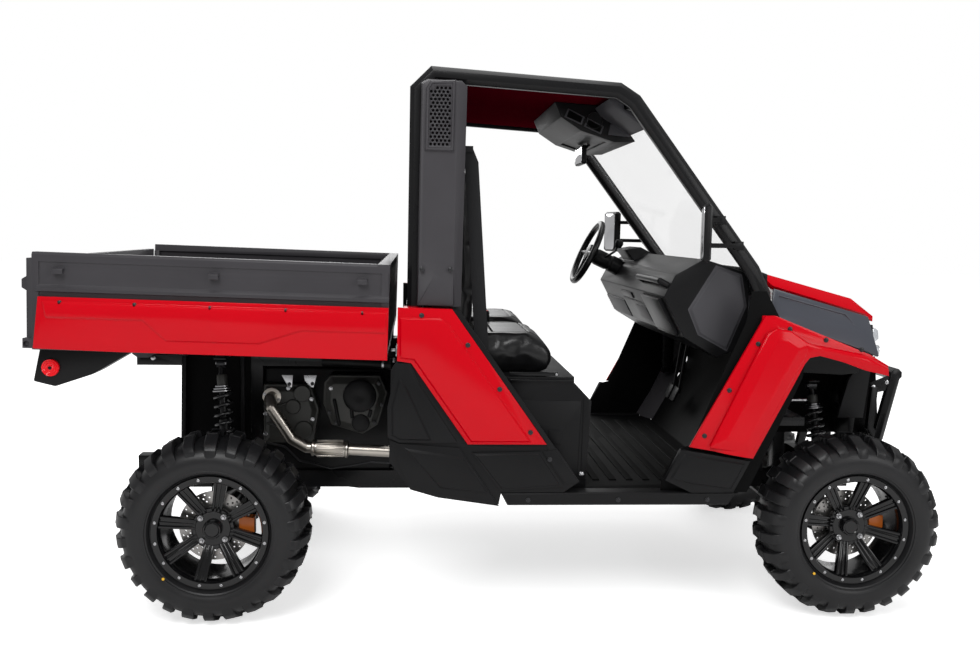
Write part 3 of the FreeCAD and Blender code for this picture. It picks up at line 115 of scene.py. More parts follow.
SENSOR_WIDTH = 36.0
FOCAL_IN_PICTURE_WIDTHS = 970.9 / 980
CAMERA_PLACE = (677.1, -3985.8, 1374.1)
YAW, PITCH, ROLL = 0.0782, 0.1000, 0.0192
FLOOR_GLOW = 0.62
ROOM_LIGHT = 0.42
WHITE = (1, 1, 1, 1)


def camera():
    """The camera where the photograph was taken from."""
    data = bpy.data.cameras.new("View")
    view = bpy.data.objects.new("View", data)
    bpy.context.collection.objects.link(view)
    data.sensor_width = SENSOR_WIDTH
    data.lens = FOCAL_IN_PICTURE_WIDTHS * SENSOR_WIDTH
    data.clip_end = 200
    ahead = Vector((math.sin(YAW) * math.cos(PITCH), math.cos(YAW) * math.cos(PITCH), -math.sin(PITCH)))
    level = Vector((math.cos(YAW), -math.sin(YAW), 0))
    above = level.cross(ahead)
    right = math.cos(ROLL) * level + math.sin(ROLL) * above
    up = -math.sin(ROLL) * level + math.cos(ROLL) * above
    turn = Matrix((right, up, -ahead)).transposed()
    view.matrix_world = Matrix.Translation(at(*CAMERA_PLACE)) @ turn.to_4x4()
    bpy.context.scene.camera = view
    bpy.context.scene.view_settings.view_transform = "Standard"


def floor_and_room():
    """A pale floor, and a white room that lights the piece less than the camera sees it."""
    bpy.ops.object.select_all(action="DESELECT")
    bpy.ops.mesh.primitive_plane_add(size=60, location=(0, 0, -0.0005))
    floor = bpy.context.object
    floor.name = "Floor"
    material, tree, shader = new_material("Pale floor")
    paths = add(tree, "LightPath")
    glow = add(tree, "Math", {0: paths.outputs["Is Camera Ray"], 1: FLOOR_GLOW}, operation="MULTIPLY")
    feed(tree, shader, {"Base Color": (0.93, 0.93, 0.93, 1), "Roughness": 0.9, "Emission Color": WHITE,
                        "Emission Strength": glow.outputs[0]})
    floor.data.materials.append(material)

    world = bpy.data.worlds.new("Studio")
    bpy.context.scene.world = world
    world.use_nodes = True
    tree = world.node_tree
    paths = add(tree, "LightPath")
    seen = add(tree, "Math", {0: paths.outputs["Is Camera Ray"], 1: paths.outputs["Is Transmission Ray"]},
               operation="MAXIMUM")
    level = add(tree, "MapRange", {"To Min": ROOM_LIGHT, "To Max": 1.0, "Value": seen.outputs[0]})
    feed(tree, tree.nodes["Background"], {"Color": WHITE, "Strength": level.outputs["Result"]})


def lamps():
    """Four soft studio lamps."""
    for name, place, size, power, target in (
            ("Key", (-1.8, -5.0, 5.2), 3.0, 250, (0, 0, 0.8)),
            ("Fill", (3.8, -4.5, 2.8), 2.4, 75, (0.6, 0, 0.7)),
            ("Top", (0, 0.4, 5.5), 4.0, 150, (0, 0, 0)),
            ("Back", (-1.0, 4.5, 3.5), 3.5, 110, (0, 0, 0.7))):
        light = bpy.data.lights.new(name, "AREA")
        light.energy = power
        light.size = size
        lamp = bpy.data.objects.new(name, light)
        bpy.context.collection.objects.link(lamp)
        lamp.location = place
        lamp.rotation_euler = (Vector(target) - Vector(place)).to_track_quat("-Z", "Y").to_euler()


camera()
floor_and_room()
lamps()

# Shader groups and finishes


def new_group(name, inputs, output):
    """An empty shader node group with its float inputs and one float output."""
    group = bpy.data.node_groups.new(name, "ShaderNodeTree")
    for label, value in inputs:
        socket = group.interface.new_socket(name=label, in_out="INPUT", socket_type="NodeSocketFloat")
        socket.default_value = value
    for label in output:
        group.interface.new_socket(name=label, in_out="OUTPUT", socket_type="NodeSocketFloat")
    return group, group.nodes.new("NodeGroupInput").outputs, group.nodes.new("NodeGroupOutput")


def grain_group():
    """Fine moulded grain as a height, and a slow mottle for colour and roughness."""
    group, given, result = new_group("Moulded grain", [("Scale", 700.0), ("Mottle scale", 6.0)],
                                     ["Height", "Mottle"])
    place = add(group, "TexCoord").outputs["Object"]
    fine = add(group, "TexVoronoi", {"Vector": place, "Scale": given["Scale"]}, feature="SMOOTH_F1")
    slow = add(group, "TexNoise", {"Detail": 3.0, "Vector": place, "Scale": given["Mottle scale"]})
    feed(group, result, {"Height": fine.outputs["Distance"], "Mottle": slow.outputs["Fac"]})
    return group


def dust_group():
    """A faint dusting that gathers low down, as a mask."""
    group, given, result = new_group("Light dust", [("Amount", 0.2), ("Fades by", 0.9)], ["Mask"])
    place = add(group, "TexCoord").outputs["Object"]
    split = add(group, "SeparateXYZ", {"Vector": place})
    low = add(group, "MapRange", {"From Min": 0.0, "To Min": 1.0, "To Max": 0.0, "Value": split.outputs["Z"],
                                  "From Max": given["Fades by"]})
    cloud = add(group, "TexNoise", {"Scale": 9.0, "Detail": 6.0, "Vector": place})
    both = add(group, "Math", {0: low.outputs["Result"], 1: cloud.outputs["Fac"]}, operation="MULTIPLY")
    scaled = add(group, "Math", {0: both.outputs[0], 1: given["Amount"]}, operation="MULTIPLY")
    feed(group, result, {"Mask": scaled.outputs[0]})
    return group


GRAIN = grain_group()
DUST = dust_group()
DUST_COLOUR = (0.16, 0.15, 0.14, 1)


def finish(name, colour, roughness, grain=700.0, bump=0.1, mottle=0.15, mottle_scale=6.0, metallic=0.0,
           coat=0.0, spread=0.06, distance=0.0004, shine=0.5, dust=0.0):
    """A material whose colour and roughness drift slightly, with a fine grain in its normal."""
    material, tree, shader = new_material(name)
    group = add(tree, "Group", {"Scale": grain, "Mottle scale": mottle_scale}, node_tree=GRAIN)
    drift = group.outputs["Mottle"]
    paint = add(tree, "Mix", {"A": (*[c * (1 - mottle) for c in colour], 1),
                              "B": (*[min(1, c * (1 + mottle)) for c in colour], 1), "Factor": drift},
                data_type="RGBA")
    if dust:
        mask = add(tree, "Group", {"Amount": dust}, node_tree=DUST)
        paint = add(tree, "Mix", {"A": paint.outputs["Result"], "B": DUST_COLOUR,
                                  "Factor": mask.outputs["Mask"]}, data_type="RGBA")
    rough = add(tree, "MapRange", {"To Min": roughness - spread, "To Max": roughness + spread,
                                   "Value": drift})
    height = add(tree, "Bump", {"Strength": bump, "Distance": distance, "Height": group.outputs["Height"]})
    feed(tree, shader, {"Metallic": metallic, "Coat Weight": coat, "Coat Roughness": 0.05,
                        "Specular IOR Level": shine, "Base Color": paint.outputs["Result"],
                        "Roughness": rough.outputs["Result"], "Normal": height.outputs["Normal"]})
    return material


RED = finish("Gloss red panel", (0.50, 0.0, 0.006), 0.13, grain=90, bump=0.03, mottle=0.05, spread=0.02,
             shine=0.16)
ROOF_RED = finish("Satin red roof", (0.50, 0.0, 0.006), 0.42, grain=90, bump=0.03, mottle=0.05, spread=0.02,
                  shine=0.1)
GREY = finish("Slate grey panel", (0.046, 0.050, 0.062), 0.33, grain=300, bump=0.03, mottle=0.06, shine=0.4)
BLACK = finish("Grained black plastic", (0.006, 0.006, 0.0065), 0.38, grain=600, bump=0.2, shine=0.14,
               dust=0.03)
SLATE = finish("Slate grained plastic", (0.046, 0.045, 0.050), 0.5, grain=600, bump=0.2, shine=0.25)
FLOOR_BLACK = finish("Matt floor black", (0.0025, 0.0025, 0.0026), 0.6, grain=500, bump=0.2, shine=0.06)
PILLAR_GREY = finish("Pillar plastic", (0.040, 0.038, 0.042), 0.45, grain=600, bump=0.2, shine=0.25)
# Near-black painted shade, for the console pockets' hollows and the face behind the pillar grille's holes.
PAINTED_SHADE_BLACK = finish("Painted shade black", (0.001, 0.001, 0.001), 0.8, grain=300, bump=0.1, shine=0.05)
STEEL_BLACK = finish("Satin black powder coat", (0.006, 0.006, 0.0065), 0.28, grain=450, bump=0.12, shine=0.2)
BED_BLACK = finish("Bed liner black", (0.038, 0.036, 0.040), 0.42, grain=420, bump=0.2, shine=0.25)
VINYL = finish("Seat vinyl", (0.006, 0.006, 0.0065), 0.32, grain=520, bump=0.3, distance=0.0006, shine=0.35)
RUBBER = finish("Tyre rubber", (0.008, 0.008, 0.0088), 0.38, grain=350, bump=0.2, mottle=0.3, mottle_scale=14,
                shine=0.3, dust=0.02)
RIM_BLACK = finish("Gloss black rim", (0.003, 0.003, 0.0034), 0.16, grain=120, bump=0.02, coat=0.15,
                   spread=0.03, shine=0.3)
CAST = finish("Rough casting", (0.035, 0.035, 0.032), 0.5, grain=260, bump=0.45, mottle=0.25, metallic=0.3)
DARK_METAL = finish("Dark machined steel", (0.025, 0.025, 0.027), 0.33, grain=300, bump=0.1, metallic=0.6)
DISC = finish("Machined disc steel", (0.30, 0.29, 0.28), 0.32, grain=240, bump=0.08, metallic=0.95)
PIPE = finish("Heat toned stainless", (0.42, 0.39, 0.35), 0.28, grain=180, bump=0.06, metallic=1.0,
              mottle=0.25)
BOLT = finish("Zinc bolt", (0.42, 0.42, 0.43), 0.28, grain=500, bump=0.05, metallic=1.0)
WEBBING = finish("Belt webbing", (0.010, 0.010, 0.011), 0.75, grain=900, bump=0.5, shine=0.25)
# The roof's red, darkened for its downward faces: painted shade on the underside.
SHADED_ROOF_RED = finish("Roof underside red with painted shade", (0.055, 0.0005, 0.004), 0.7, grain=300, bump=0.05, shine=0.0)
LENS_RED = finish("Red lens", (0.75, 0.004, 0.010), 0.14, grain=200, bump=0.1, coat=0.2, shine=0.3)
LENS_CLEAR = finish("Lamp reflector", (0.55, 0.57, 0.6), 0.15, grain=60, bump=0.2, coat=0.9, metallic=0.3)
MIRROR = finish("Mirror silver", (0.8, 0.8, 0.82), 0.05, grain=20, bump=0.0, metallic=1.0, spread=0.01)
ORANGE = finish("Orange caliper paint", (0.55, 0.13, 0.012), 0.4, grain=260, bump=0.2, mottle=0.2)
YELLOW = finish("Yellow tyre dot", (0.75, 0.42, 0.02), 0.6, grain=400, bump=0.1)
SPRING_BLACK = finish("Coil spring enamel", (0.012, 0.012, 0.013), 0.25, grain=300, bump=0.05, shine=0.6)


def glass_material(name, colour, alpha):
    """Thin clear sheet: mostly see-through, with a plain reflection."""
    material, tree, shader = new_material(name)
    place = add(tree, "TexCoord").outputs["Object"]
    haze = add(tree, "TexNoise", {"Scale": 3.0, "Vector": place})
    clear = add(tree, "MapRange", {"To Min": alpha * 0.85, "To Max": alpha * 1.15,
                                   "Value": haze.outputs["Fac"]})
    feed(tree, shader, {"Base Color": (*colour, 1), "Roughness": 0.03, "Specular IOR Level": 0.5,
                        "Alpha": clear.outputs["Result"]})
    return material


GLASS = glass_material("Windscreen sheet", (0.66, 0.68, 0.69), 0.10)

# Making tools


def take(obj):
    """Makes obj the only selected object, and active."""
    bpy.ops.object.select_all(action="DESELECT")
    obj.select_set(True)
    bpy.context.view_layer.objects.active = obj


def leave():
    """Back from editing a mesh."""
    bpy.ops.object.mode_set(mode="OBJECT")


def settle(obj):
    """Applies the object's place, turn and size to its mesh."""
    take(obj)
    bpy.ops.object.transform_apply(location=True, rotation=True, scale=True)


def apply_modifier(obj, kind, **settings):
    """Adds a modifier with its settings and applies it."""
    take(obj)
    modifier = obj.modifiers.new(kind.title(), kind)
    for key, value in settings.items():
        setattr(modifier, key, value)
    bpy.ops.object.modifier_apply(modifier=modifier.name)


def set_material(obj, material):
    """One material all over."""
    obj.data.materials.clear()
    obj.data.materials.append(material)


def smooth(obj, degrees=40):
    """Smooth shading across faces that meet gently."""
    take(obj)
    bpy.ops.object.shade_smooth_by_angle(angle=math.radians(degrees))


def ease(obj, width, segments=2, degrees=30):
    """Rounds the object's sharper edges, to a width in mm."""
    apply_modifier(obj, "BEVEL", width=width / 1000, segments=segments, limit_method="ANGLE",
                   angle_limit=math.radians(degrees), use_clamp_overlap=True)


def twin_of(source, name):
    """A copy of an object with a mesh of its own."""
    take(source)
    twin = source.copy()
    twin.data = source.data.copy()
    bpy.context.collection.objects.link(twin)
    twin.name = name
    return twin


# The faces of these stay apart, since merged ones make the bevel fold over itself.
UNMERGED = ("bed_side_panels", "roof_panel")


def eased(node, material, width):
    """A node's own shape with merged faces and eased edges, shown in its place."""
    copy = twin_of(NODES[node], node + "_shell")
    in_edit(copy, action="SELECT")
    bpy.ops.mesh.remove_doubles(threshold=WELD)
    if node not in UNMERGED:
        bpy.ops.mesh.dissolve_limited(angle_limit=math.radians(1.0))
    leave()
    ease(copy, width)
    set_material(copy, material)
    smooth(copy)
    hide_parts(node)
    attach(copy, BODY_OF[node])
    return copy


def repaint(obj, material, wanted):
    """Gives a second material to the faces whose centre and normal are wanted."""
    obj.data.materials.append(material)
    index = len(obj.data.materials) - 1
    for face in obj.data.polygons:
        if wanted(face.center, face.normal):
            face.material_index = index


def in_edit(obj, mode="FACE", action="DESELECT"):
    """Opens obj for editing with nothing selected, or with all of it."""
    take(obj)
    bpy.ops.object.mode_set(mode="EDIT")
    bpy.ops.mesh.select_mode(type=mode)
    bpy.ops.mesh.select_all(action=action)


def pick(obj, wanted):
    """Selects the faces of obj, in edit mode, whose centre and normal are wanted."""
    bpy.ops.mesh.select_all(action="DESELECT")
    leave()
    for face in obj.data.polygons:
        face.select = wanted(face.center, face.normal)
    bpy.ops.object.mode_set(mode="EDIT")


def push(x, y, z):
    """Moves what is selected by a step in mm."""
    bpy.ops.transform.translate(value=step(x, y, z))


def extrude(x, y, z):
    """Draws what is selected out of its mesh by a step in mm."""
    bpy.ops.mesh.extrude_region_move(TRANSFORM_OT_translate={"value": step(x, y, z)})


def outside(obj):
    """Leaves edit mode with every normal pointing outwards."""
    bpy.ops.mesh.select_all(action="SELECT")
    bpy.ops.mesh.remove_doubles(threshold=WELD / 2)
    bpy.ops.mesh.normals_make_consistent(inside=False)
    leave()
    return obj


def block(name, low, high, material, width=0.0, segments=2):
    """A block between two corners, settled, with eased edges if a width is given."""
    bpy.ops.object.select_all(action="DESELECT")
    bpy.ops.mesh.primitive_cube_add(size=1, location=(low + high) / 2, scale=high - low)
    obj = bpy.context.object
    obj.name = name
    settle(obj)
    set_material(obj, material)
    if width:
        ease(obj, width, segments)
        smooth(obj)
    return obj


def lathe(name, centre, profile, segments, material, closed=False, degrees=35):
    """A round piece about a line along Y: a circle extruded and scaled through (y, radius) steps in mm."""
    bpy.ops.object.select_all(action="DESELECT")
    y, radius = profile[0]
    bpy.ops.mesh.primitive_circle_add(vertices=segments, radius=radius / 1000,
                                      fill_type="NOTHING" if closed else "NGON",
                                      location=centre + step(0, y, 0), rotation=(math.pi / 2, 0, 0))
    obj = bpy.context.object
    obj.name = name
    settle(obj)
    in_edit(obj, "EDGE", "SELECT")
    for next_y, next_radius in [*profile[1:], *(profile[:1] if closed else [])]:
        extrude(0, next_y - y, 0)
        scale = next_radius / radius
        if abs(scale - 1) > 1e-6:
            bpy.ops.transform.resize(value=(scale, 1, scale),
                                     center_override=(centre.x, centre.y + next_y / 1000, centre.z))
        y, radius = next_y, next_radius
    if not closed:
        bpy.ops.mesh.edge_face_add()
    outside(obj)
    set_material(obj, material)
    smooth(obj, degrees)
    return obj


def copied(obj, matrix, name=None):
    """A copy with its own mesh, moved by a matrix in the frame."""
    twin = twin_of(obj, name or obj.name)
    twin.data.transform(matrix)
    if matrix.determinant() < 0:
        twin.data.flip_normals()
    return twin


def joined(objects, name):
    """Several objects as one."""
    bpy.ops.object.select_all(action="DESELECT")
    for obj in objects:
        obj.select_set(True)
    bpy.context.view_layer.objects.active = objects[0]
    bpy.ops.object.join()
    whole = bpy.context.object
    whole.name = name
    whole.data.name = name
    return whole


def turned_about(centre, degrees, axis="Y"):
    """A turn about a line through centre."""
    turn = Matrix.Rotation(math.radians(degrees), 4, axis)
    return Matrix.Translation(centre) @ turn @ Matrix.Translation(-centre)


def ring_of(obj, centre, count, *starts, axis="Y"):
    """Copies of the object in a full circle about a line through centre, from each start, in its place."""
    copies = [copied(obj, turned_about(centre, start + 360.0 * i / count, axis))
              for start in starts for i in range(count)]
    bpy.data.objects.remove(obj)
    return copies


def cut(obj, cutters, **settings):
    """Cuts away what the cutters cover."""
    cutter = joined(cutters, "holes")
    in_edit(cutter)
    outside(cutter)
    apply_modifier(obj, "BOOLEAN", operation="DIFFERENCE", object=cutter, solver="EXACT", **settings)
    bpy.data.objects.remove(cutter)


OTHER_SIDE = Matrix.Scale(-1, 4, (0, 1, 0))


def dressed(obj, body="vehicle", nodes=()):
    """Rides the piece on its body, and hides the CAD nodes it stands for."""
    if nodes:
        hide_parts(*nodes)
    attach(obj, body)
    return obj


def on_both_wheels(obj, end, node=None):
    """The right-hand wheel's piece and its mirror image, each on its own wheel."""
    twin = copied(obj, OTHER_SIDE, obj.name.replace("right", "left"))
    for piece, side in ((obj, "right"), (twin, "left")):
        dressed(piece, f"wheel_{end}_{side}", [f"{node}_{end}_{side}"] if node else ())


# Wheels

LUG_EDGE = 2.5
LUGS_IN_A_ROW = 13


def tread_lug(centre, half, long):
    """One shoulder lug at the top of the tyre, drawn out over the shoulder and down the sidewall."""
    wide = 21.0 if long else 18.0
    inner, outer, reach = 0.34 * half, 0.80 * half, 0.13 * half
    lug = block("lug", centre + step(-wide, -outer, TYRE_RADIUS - 26),
                centre + step(wide, -inner, TYRE_RADIUS), RUBBER)
    in_edit(lug)
    pick(lug, lambda c, n: n.y < -0.5)
    push(4, 0, -22)
    extrude(3, -reach, -20)
    foot = centre + step(0, -outer - reach, TYRE_RADIUS - 36)
    bpy.ops.transform.resize(value=(0.92, 1, 0.85), center_override=foot)
    if long:
        extrude(0, -0.03 * half, -26)
        foot = centre + step(0, -outer - 1.2 * reach, TYRE_RADIUS - 62)
        bpy.ops.transform.resize(value=(0.7, 1, 0.55), center_override=foot)
    pick(lug, lambda c, n: n.z > 0.9 and c.z > centre.z + TYRE_RADIUS / 1000 - 0.003)
    bpy.ops.mesh.inset(thickness=0.004, depth=0.0)
    leave()
    ease(lug, LUG_EDGE, 1)
    return lug


def middle_lug(centre, half):
    """One bent block of the tread's middle rows."""
    lug = block("middle", centre + step(-17, -0.30 * half, TYRE_RADIUS - 24),
                centre + step(17, 0.04 * half, TYRE_RADIUS), RUBBER)
    in_edit(lug)
    pick(lug, lambda c, n: n.y > 0.5)
    extrude(11, 0.09 * half, 0)
    leave()
    ease(lug, LUG_EDGE, 1)
    return lug


def tyre(end, x, width):
    """A tyre with a rounded carcass, two rows of shoulder lugs and staggered middle blocks."""
    half = width / 2
    centre = at(x, -(TYRE_OUTER_Y - half), AXLE_Z)
    bead = half - 36
    wall = [(bead, 184), (bead + 4, 199), (half - 14, 207), (half - 5, 222), (half - 1, 238),
            (0.975 * half, 256), (0.925 * half, 272), (0.84 * half, 286), (0.65 * half, 297),
            (0.30 * half, 304)]
    profile = [*[(-y, r) for y, r in wall], (0, 306), *reversed(wall), (bead - 6, 184), (-bead + 6, 184)]
    parts = [lathe("tyre_carcass", centre, profile, 72, RUBBER, closed=True)]
    between = 180.0 / LUGS_IN_A_ROW
    flip = turned_about(centre, 180, "Z")
    for lug, starts in ((tread_lug(centre, half, True), [0]), (tread_lug(centre, half, False), [between]),
                        (middle_lug(centre, half), [0, between])):
        near = ring_of(lug, centre, LUGS_IN_A_ROW, *starts)
        parts += near + [copied(n, flip) for n in near]
    guard = [(-half + 15, 210), (-half + 8, 213), (-half + 7.5, 217), (-half + 11, 222)]
    parts.append(lathe("rim_guard", centre, guard, 72, RUBBER, closed=True))
    whole = joined(parts, f"tyre_{end}_right_tread")
    smooth(whole, 30)
    dot = lathe("dot", centre + step(-150, -half, -150), [(7, 4.5), (3.6, 4.5), (3.4, 3.5)], 12, YELLOW)
    return whole, dot


def small_bolt(name, place, radius, height, material):
    """A bolt head that looks to -Y: a hexagon on a round flange."""
    flange = [(0, radius), (-height * 0.35, radius), (-height * 0.45, radius * 0.86)]
    head = [(0, radius * 0.68), (-height * 0.9, radius * 0.66), (-height, radius * 0.5)]
    return joined([lathe(name, place, flange, 12, material), lathe(name, place, head, 6, material)], name)


def some_bolts(name, spots, y, radius, height, material):
    """The same bolt at several places (x, z) of one face."""
    return [small_bolt(name, at(x, y, z), radius, height, material) for x, z in spots]


def rim(end, x, width):
    """A gloss black rim: bolted outer ring, deep barrel and eight double-groove spokes on a hub."""
    half = width / 2 - 25
    centre = at(x, -(TYRE_OUTER_Y - width / 2), AXLE_Z)
    near = [(0.5, 177), (1, 175), (5, 174), (9, 172), (14, 169), (34, 168)]
    outline = [(-half, 194), (-half + 4, 196), (-half + 10, 195), (-half + 11, 184), (half - 11, 184),
               (half - 10, 195), (half - 3, 196), (half, 193), (half - 2, 184), (half - 16, 176),
               (half - 30, 170), *[(y - half, radius) for y, radius in reversed(near)]]
    barrel = lathe("barrel", centre, outline, 64, RIM_BLACK, closed=True)
    face = -half + 8
    hub_face = -half + 52
    grooves = []
    for offset, wide, lift in ((0, 34, 5), (-12.5, 9, 0), (12.5, 9, 0), (0, 7, 1)):
        spoke_bar = block("spoke_bar", centre + step(offset - wide / 2, hub_face + lift, 58),
                          centre + step(offset + wide / 2, hub_face + 22, 171), RIM_BLACK)
        in_edit(spoke_bar)
        pick(spoke_bar, lambda c, n: n.z > 0.5)
        push(offset * 0.35, face - hub_face, 0)
        leave()
        ease(spoke_bar, 2.0, 2)
        grooves.append(spoke_bar)
    spokes = ring_of(joined(grooves, "spoke"), centre, 8, 12)
    hub = [(24, 74), (4, 74), (0, 70), (1, 60), (-1, 58), (-1, 40)]
    cap = [(0, 33), (-16, 32), (-21, 29), (-22, 25), (-19, 22), (-19, 5)]
    middle = centre + step(0, hub_face, 0)
    whole = joined([barrel, *spokes, lathe("hub", middle, hub, 48, RIM_BLACK),
                    lathe("cap", middle, cap, 40, RIM_BLACK)], f"rim_{end}_right_spokes")
    smooth(whole, 35)
    nut = small_bolt("nut", centre + step(0, hub_face, 55), 10.5, 17, BOLT)
    ring_bolt = small_bolt("ring_bolt", centre + step(0, -half + 1, 184.5), 5.2, 4.5, BOLT)
    valve = lathe("valve", centre + step(112, face, 118), [(6, 4), (-12, 3.4), (-14, 2.6)], 10, BLACK)
    bolts = [*ring_of(nut, centre, 4, 42), *ring_of(ring_bolt, centre, 16, 11.25), valve]
    return whole, joined(bolts, f"wheel_bolts_{end}_right")


def brake_disc(end, x):
    """A drilled steel disc on its bell."""
    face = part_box(f"brake_disc_{end}_right")[0][1] * 1000
    centre = at(x, face, AXLE_Z)
    plate = lathe("disc_plate", centre, [(10, 121), (10, 58), (16, 58), (16, 121)], 64, DISC, closed=True)
    holes = []
    for radius, phase in ((112, 0), (100, 7.5), (88, 0)):
        hole = lathe("hole", centre + step(0, 0, radius), [(4, 3.6), (22, 3.6001)], 8, DISC)
        holes += ring_of(hole, centre, 12, phase, phase + 12)
    cut(plate, holes, use_self=True)
    bell = [(0, 38), (0, 40), (9.5, 60), (17, 60), (20, 41), (33.5, 40), (33.6, 16)]
    whole = joined([plate, lathe("bell", centre, bell, 40, DARK_METAL)], f"brake_disc_{end}_right_drilled")
    smooth(whole, 30)
    return whole


def wheels():
    """Every wheel's tyre, rim, bolts and disc."""
    for end, x, width in (("front", WHEELBASE, 232.0), ("rear", 0.0, 262.0)):
        tread, dot = tyre(end, x, width)
        on_both_wheels(tread, end, "tyre")
        dot.name = f"tyre_dot_{end}_right"
        on_both_wheels(dot, end)
        spokes, bolts = rim(end, x, width)
        on_both_wheels(spokes, end, "rim")
        on_both_wheels(bolts, end)
        on_both_wheels(brake_disc(end, x), end, "brake_disc")


wheels()

# Body panels, frame and cab from the nodes' own shapes

FINISHES = (
    (RED, {"quarter_panels": 5.0, "front_fenders": 4.0, "hood": 7.0, "bed_side_panels": 1.5}),
    (ROOF_RED, {"roof_panel": 2.0}),
    (GREY, {"hood_side_panels": 3.0}),
    (STEEL_BLACK, {"roll_cage": 8.0, "chassis_frame": 2.0, "skid_plate": 1.0, "bed_subframe": 2.0,
                   "front_bulkhead": 2.0, "suspension_mounts": 1.0, "brush_guard": 6.0,
                   "suspension_arms": 3.0}),
    (BED_BLACK, {"bed_box": 3.0, "tailgate": 3.0}),
    (DARK_METAL, {"steering_rack": 2.0, "axle_shafts": 3.0}),
    (FLOOR_BLACK, {"floor_pan": 3.0}),
    (PILLAR_GREY, {"pillar_covers": 5.0}),
    (BLACK, {"side_steps": 4.0, "overhead_console": 8.0, "side_cladding": 3.0, "wheel_arch_liners": 2.0,
             "front_fascia": 5.0, "cowl_panel": 3.0, "seat_base": 4.0, "dashboard": 12.0,
             "glove_box_lid": 4.0, "mirrors": 9.0, "tail_lamp_pods": 6.0, "engine_block": 8.0}),
    (WEBBING, {"seat_belts": 0.5}),
    (LENS_CLEAR, {"headlamps": 2.0}),
    (CAST, {"engine_covers": 10.0, "transaxle": 8.0, "front_differential": 8.0, "rear_knuckles": 2.0,
            "knuckle_right": 2.0, "knuckle_left": 2.0}),
)


def panels():
    """Eased copies of the nodes whose own shape is right."""
    shells = {node: eased(node, material, width) for material, widths in FINISHES
              for node, width in widths.items()}
    # The roof's downward faces take the darker red, which is painted shade.
    repaint(shells["roof_panel"], SHADED_ROOF_RED, lambda c, n: n.z < -0.5)
    set_material(NODES["windscreen"], GLASS)
    for node, x in (("knuckle_right", WHEELBASE), ("knuckle_left", WHEELBASE), ("rear_knuckles", 0.0)):
        front = at(x + 82, 0, 0).x
        repaint(shells[node], ORANGE, lambda c, n, front=front: c.x > front)
    for node in ("quarter_panels", "front_fenders"):
        repaint(shells[node], BLACK, lambda c, n: c.y * n.y < -0.3 * abs(c.y))
    repaint(shells["dashboard"], SLATE, lambda c, n: abs(c.y) > 0.6001)
    # The pillar covers' sunk face behind the grille holes gets painted shade, so the holes read dark.
    low, high = at(700, 0, 1630), at(806, 0, 1860)
    repaint(shells["pillar_covers"], PAINTED_SHADE_BLACK,
            lambda c, n: (abs(abs(c.y) - 0.726) < 0.0006 and abs(n.y) > 0.9
                          and low.x < c.x < high.x and low.z < c.z < high.z))


panels()

# Rods, tubes, rounded blocks and flat pieces


def aim(obj, start, end):
    """Moves a piece made along +Y at the origin so that it starts at one place and points to another."""
    turn = Vector((0, 1, 0)).rotation_difference(end - start).to_matrix().to_4x4()
    obj.data.transform(Matrix.Translation(start) @ turn)
    obj.data.update()
    return obj


def bar(name, start, end, profile, material, segments=16):
    """A round piece between two places, with (share of the run, radius in mm) steps."""
    run = (end - start).length * 1000
    steps = [(share * run, radius) for share, radius in profile]
    return aim(lathe(name, ORIGIN, steps, segments, material), start, end)


def tube(name, points, radius, material, segments=14):
    """A round tube through places, with a ball at each bend."""
    even = [(0, radius), (1, radius)]
    parts = [bar(name, a, b, even, material, segments) for a, b in zip(points, points[1:])]
    for place in points[1:-1]:
        bpy.ops.object.select_all(action="DESELECT")
        bpy.ops.mesh.primitive_uv_sphere_add(segments=segments, ring_count=8, radius=radius / 1000,
                                             location=place)
        elbow = bpy.context.object
        settle(elbow)
        set_material(elbow, material)
        parts.append(elbow)
    whole = joined(parts, name)
    smooth(whole, 50)
    return whole


def rounded(name, low, high, axis, radius, material, edge=1.0):
    """A block whose four edges along one axis (0, 1 or 2) are rounded to a radius in mm."""
    obj = block(name, low, high, material)
    in_edit(obj, "EDGE")
    leave()
    points = obj.data.vertices
    for line in obj.data.edges:
        a, b = (points[i].co for i in line.vertices)
        line.select = abs((a - b)[axis]) > 0.9 * abs((high - low)[axis])
    bpy.ops.object.mode_set(mode="EDIT")
    bpy.ops.mesh.bevel(offset=radius / 1000, segments=5, affect="EDGES")
    outside(obj)
    if edge:
        ease(obj, edge, 2)
    smooth(obj, 40)
    return obj


def panel_piece(name, outline, y_face, thick, material, edge=1.0):
    """A flat piece cut to a side-view outline of (x, z), standing thick mm out from y_face towards -Y."""
    bpy.ops.object.select_all(action="DESELECT")
    bpy.ops.mesh.primitive_circle_add(vertices=len(outline), radius=0.1, fill_type="NGON",
                                      location=at(0, y_face, 0), rotation=(math.pi / 2, 0, 0))
    obj = bpy.context.object
    obj.name = name
    settle(obj)
    for vertex, (x, z) in zip(obj.data.vertices, outline):
        vertex.co = at(x, y_face, z)
    in_edit(obj, action="SELECT")
    extrude(0, -thick, 0)
    outside(obj)
    set_material(obj, material)
    if edge:
        ease(obj, edge, 2)
    smooth(obj, 35)
    return obj


def to_both(obj, body="vehicle", nodes=()):
    """The piece and its mirror image as one object on one body."""
    twin = copied(obj, OTHER_SIDE)
    return dressed(joined([obj, twin], obj.name), body, nodes)


# Seats

CLOTH_STEPS = 20
SKIN = 0.0005
SEAMS_Y = (-508, -152)


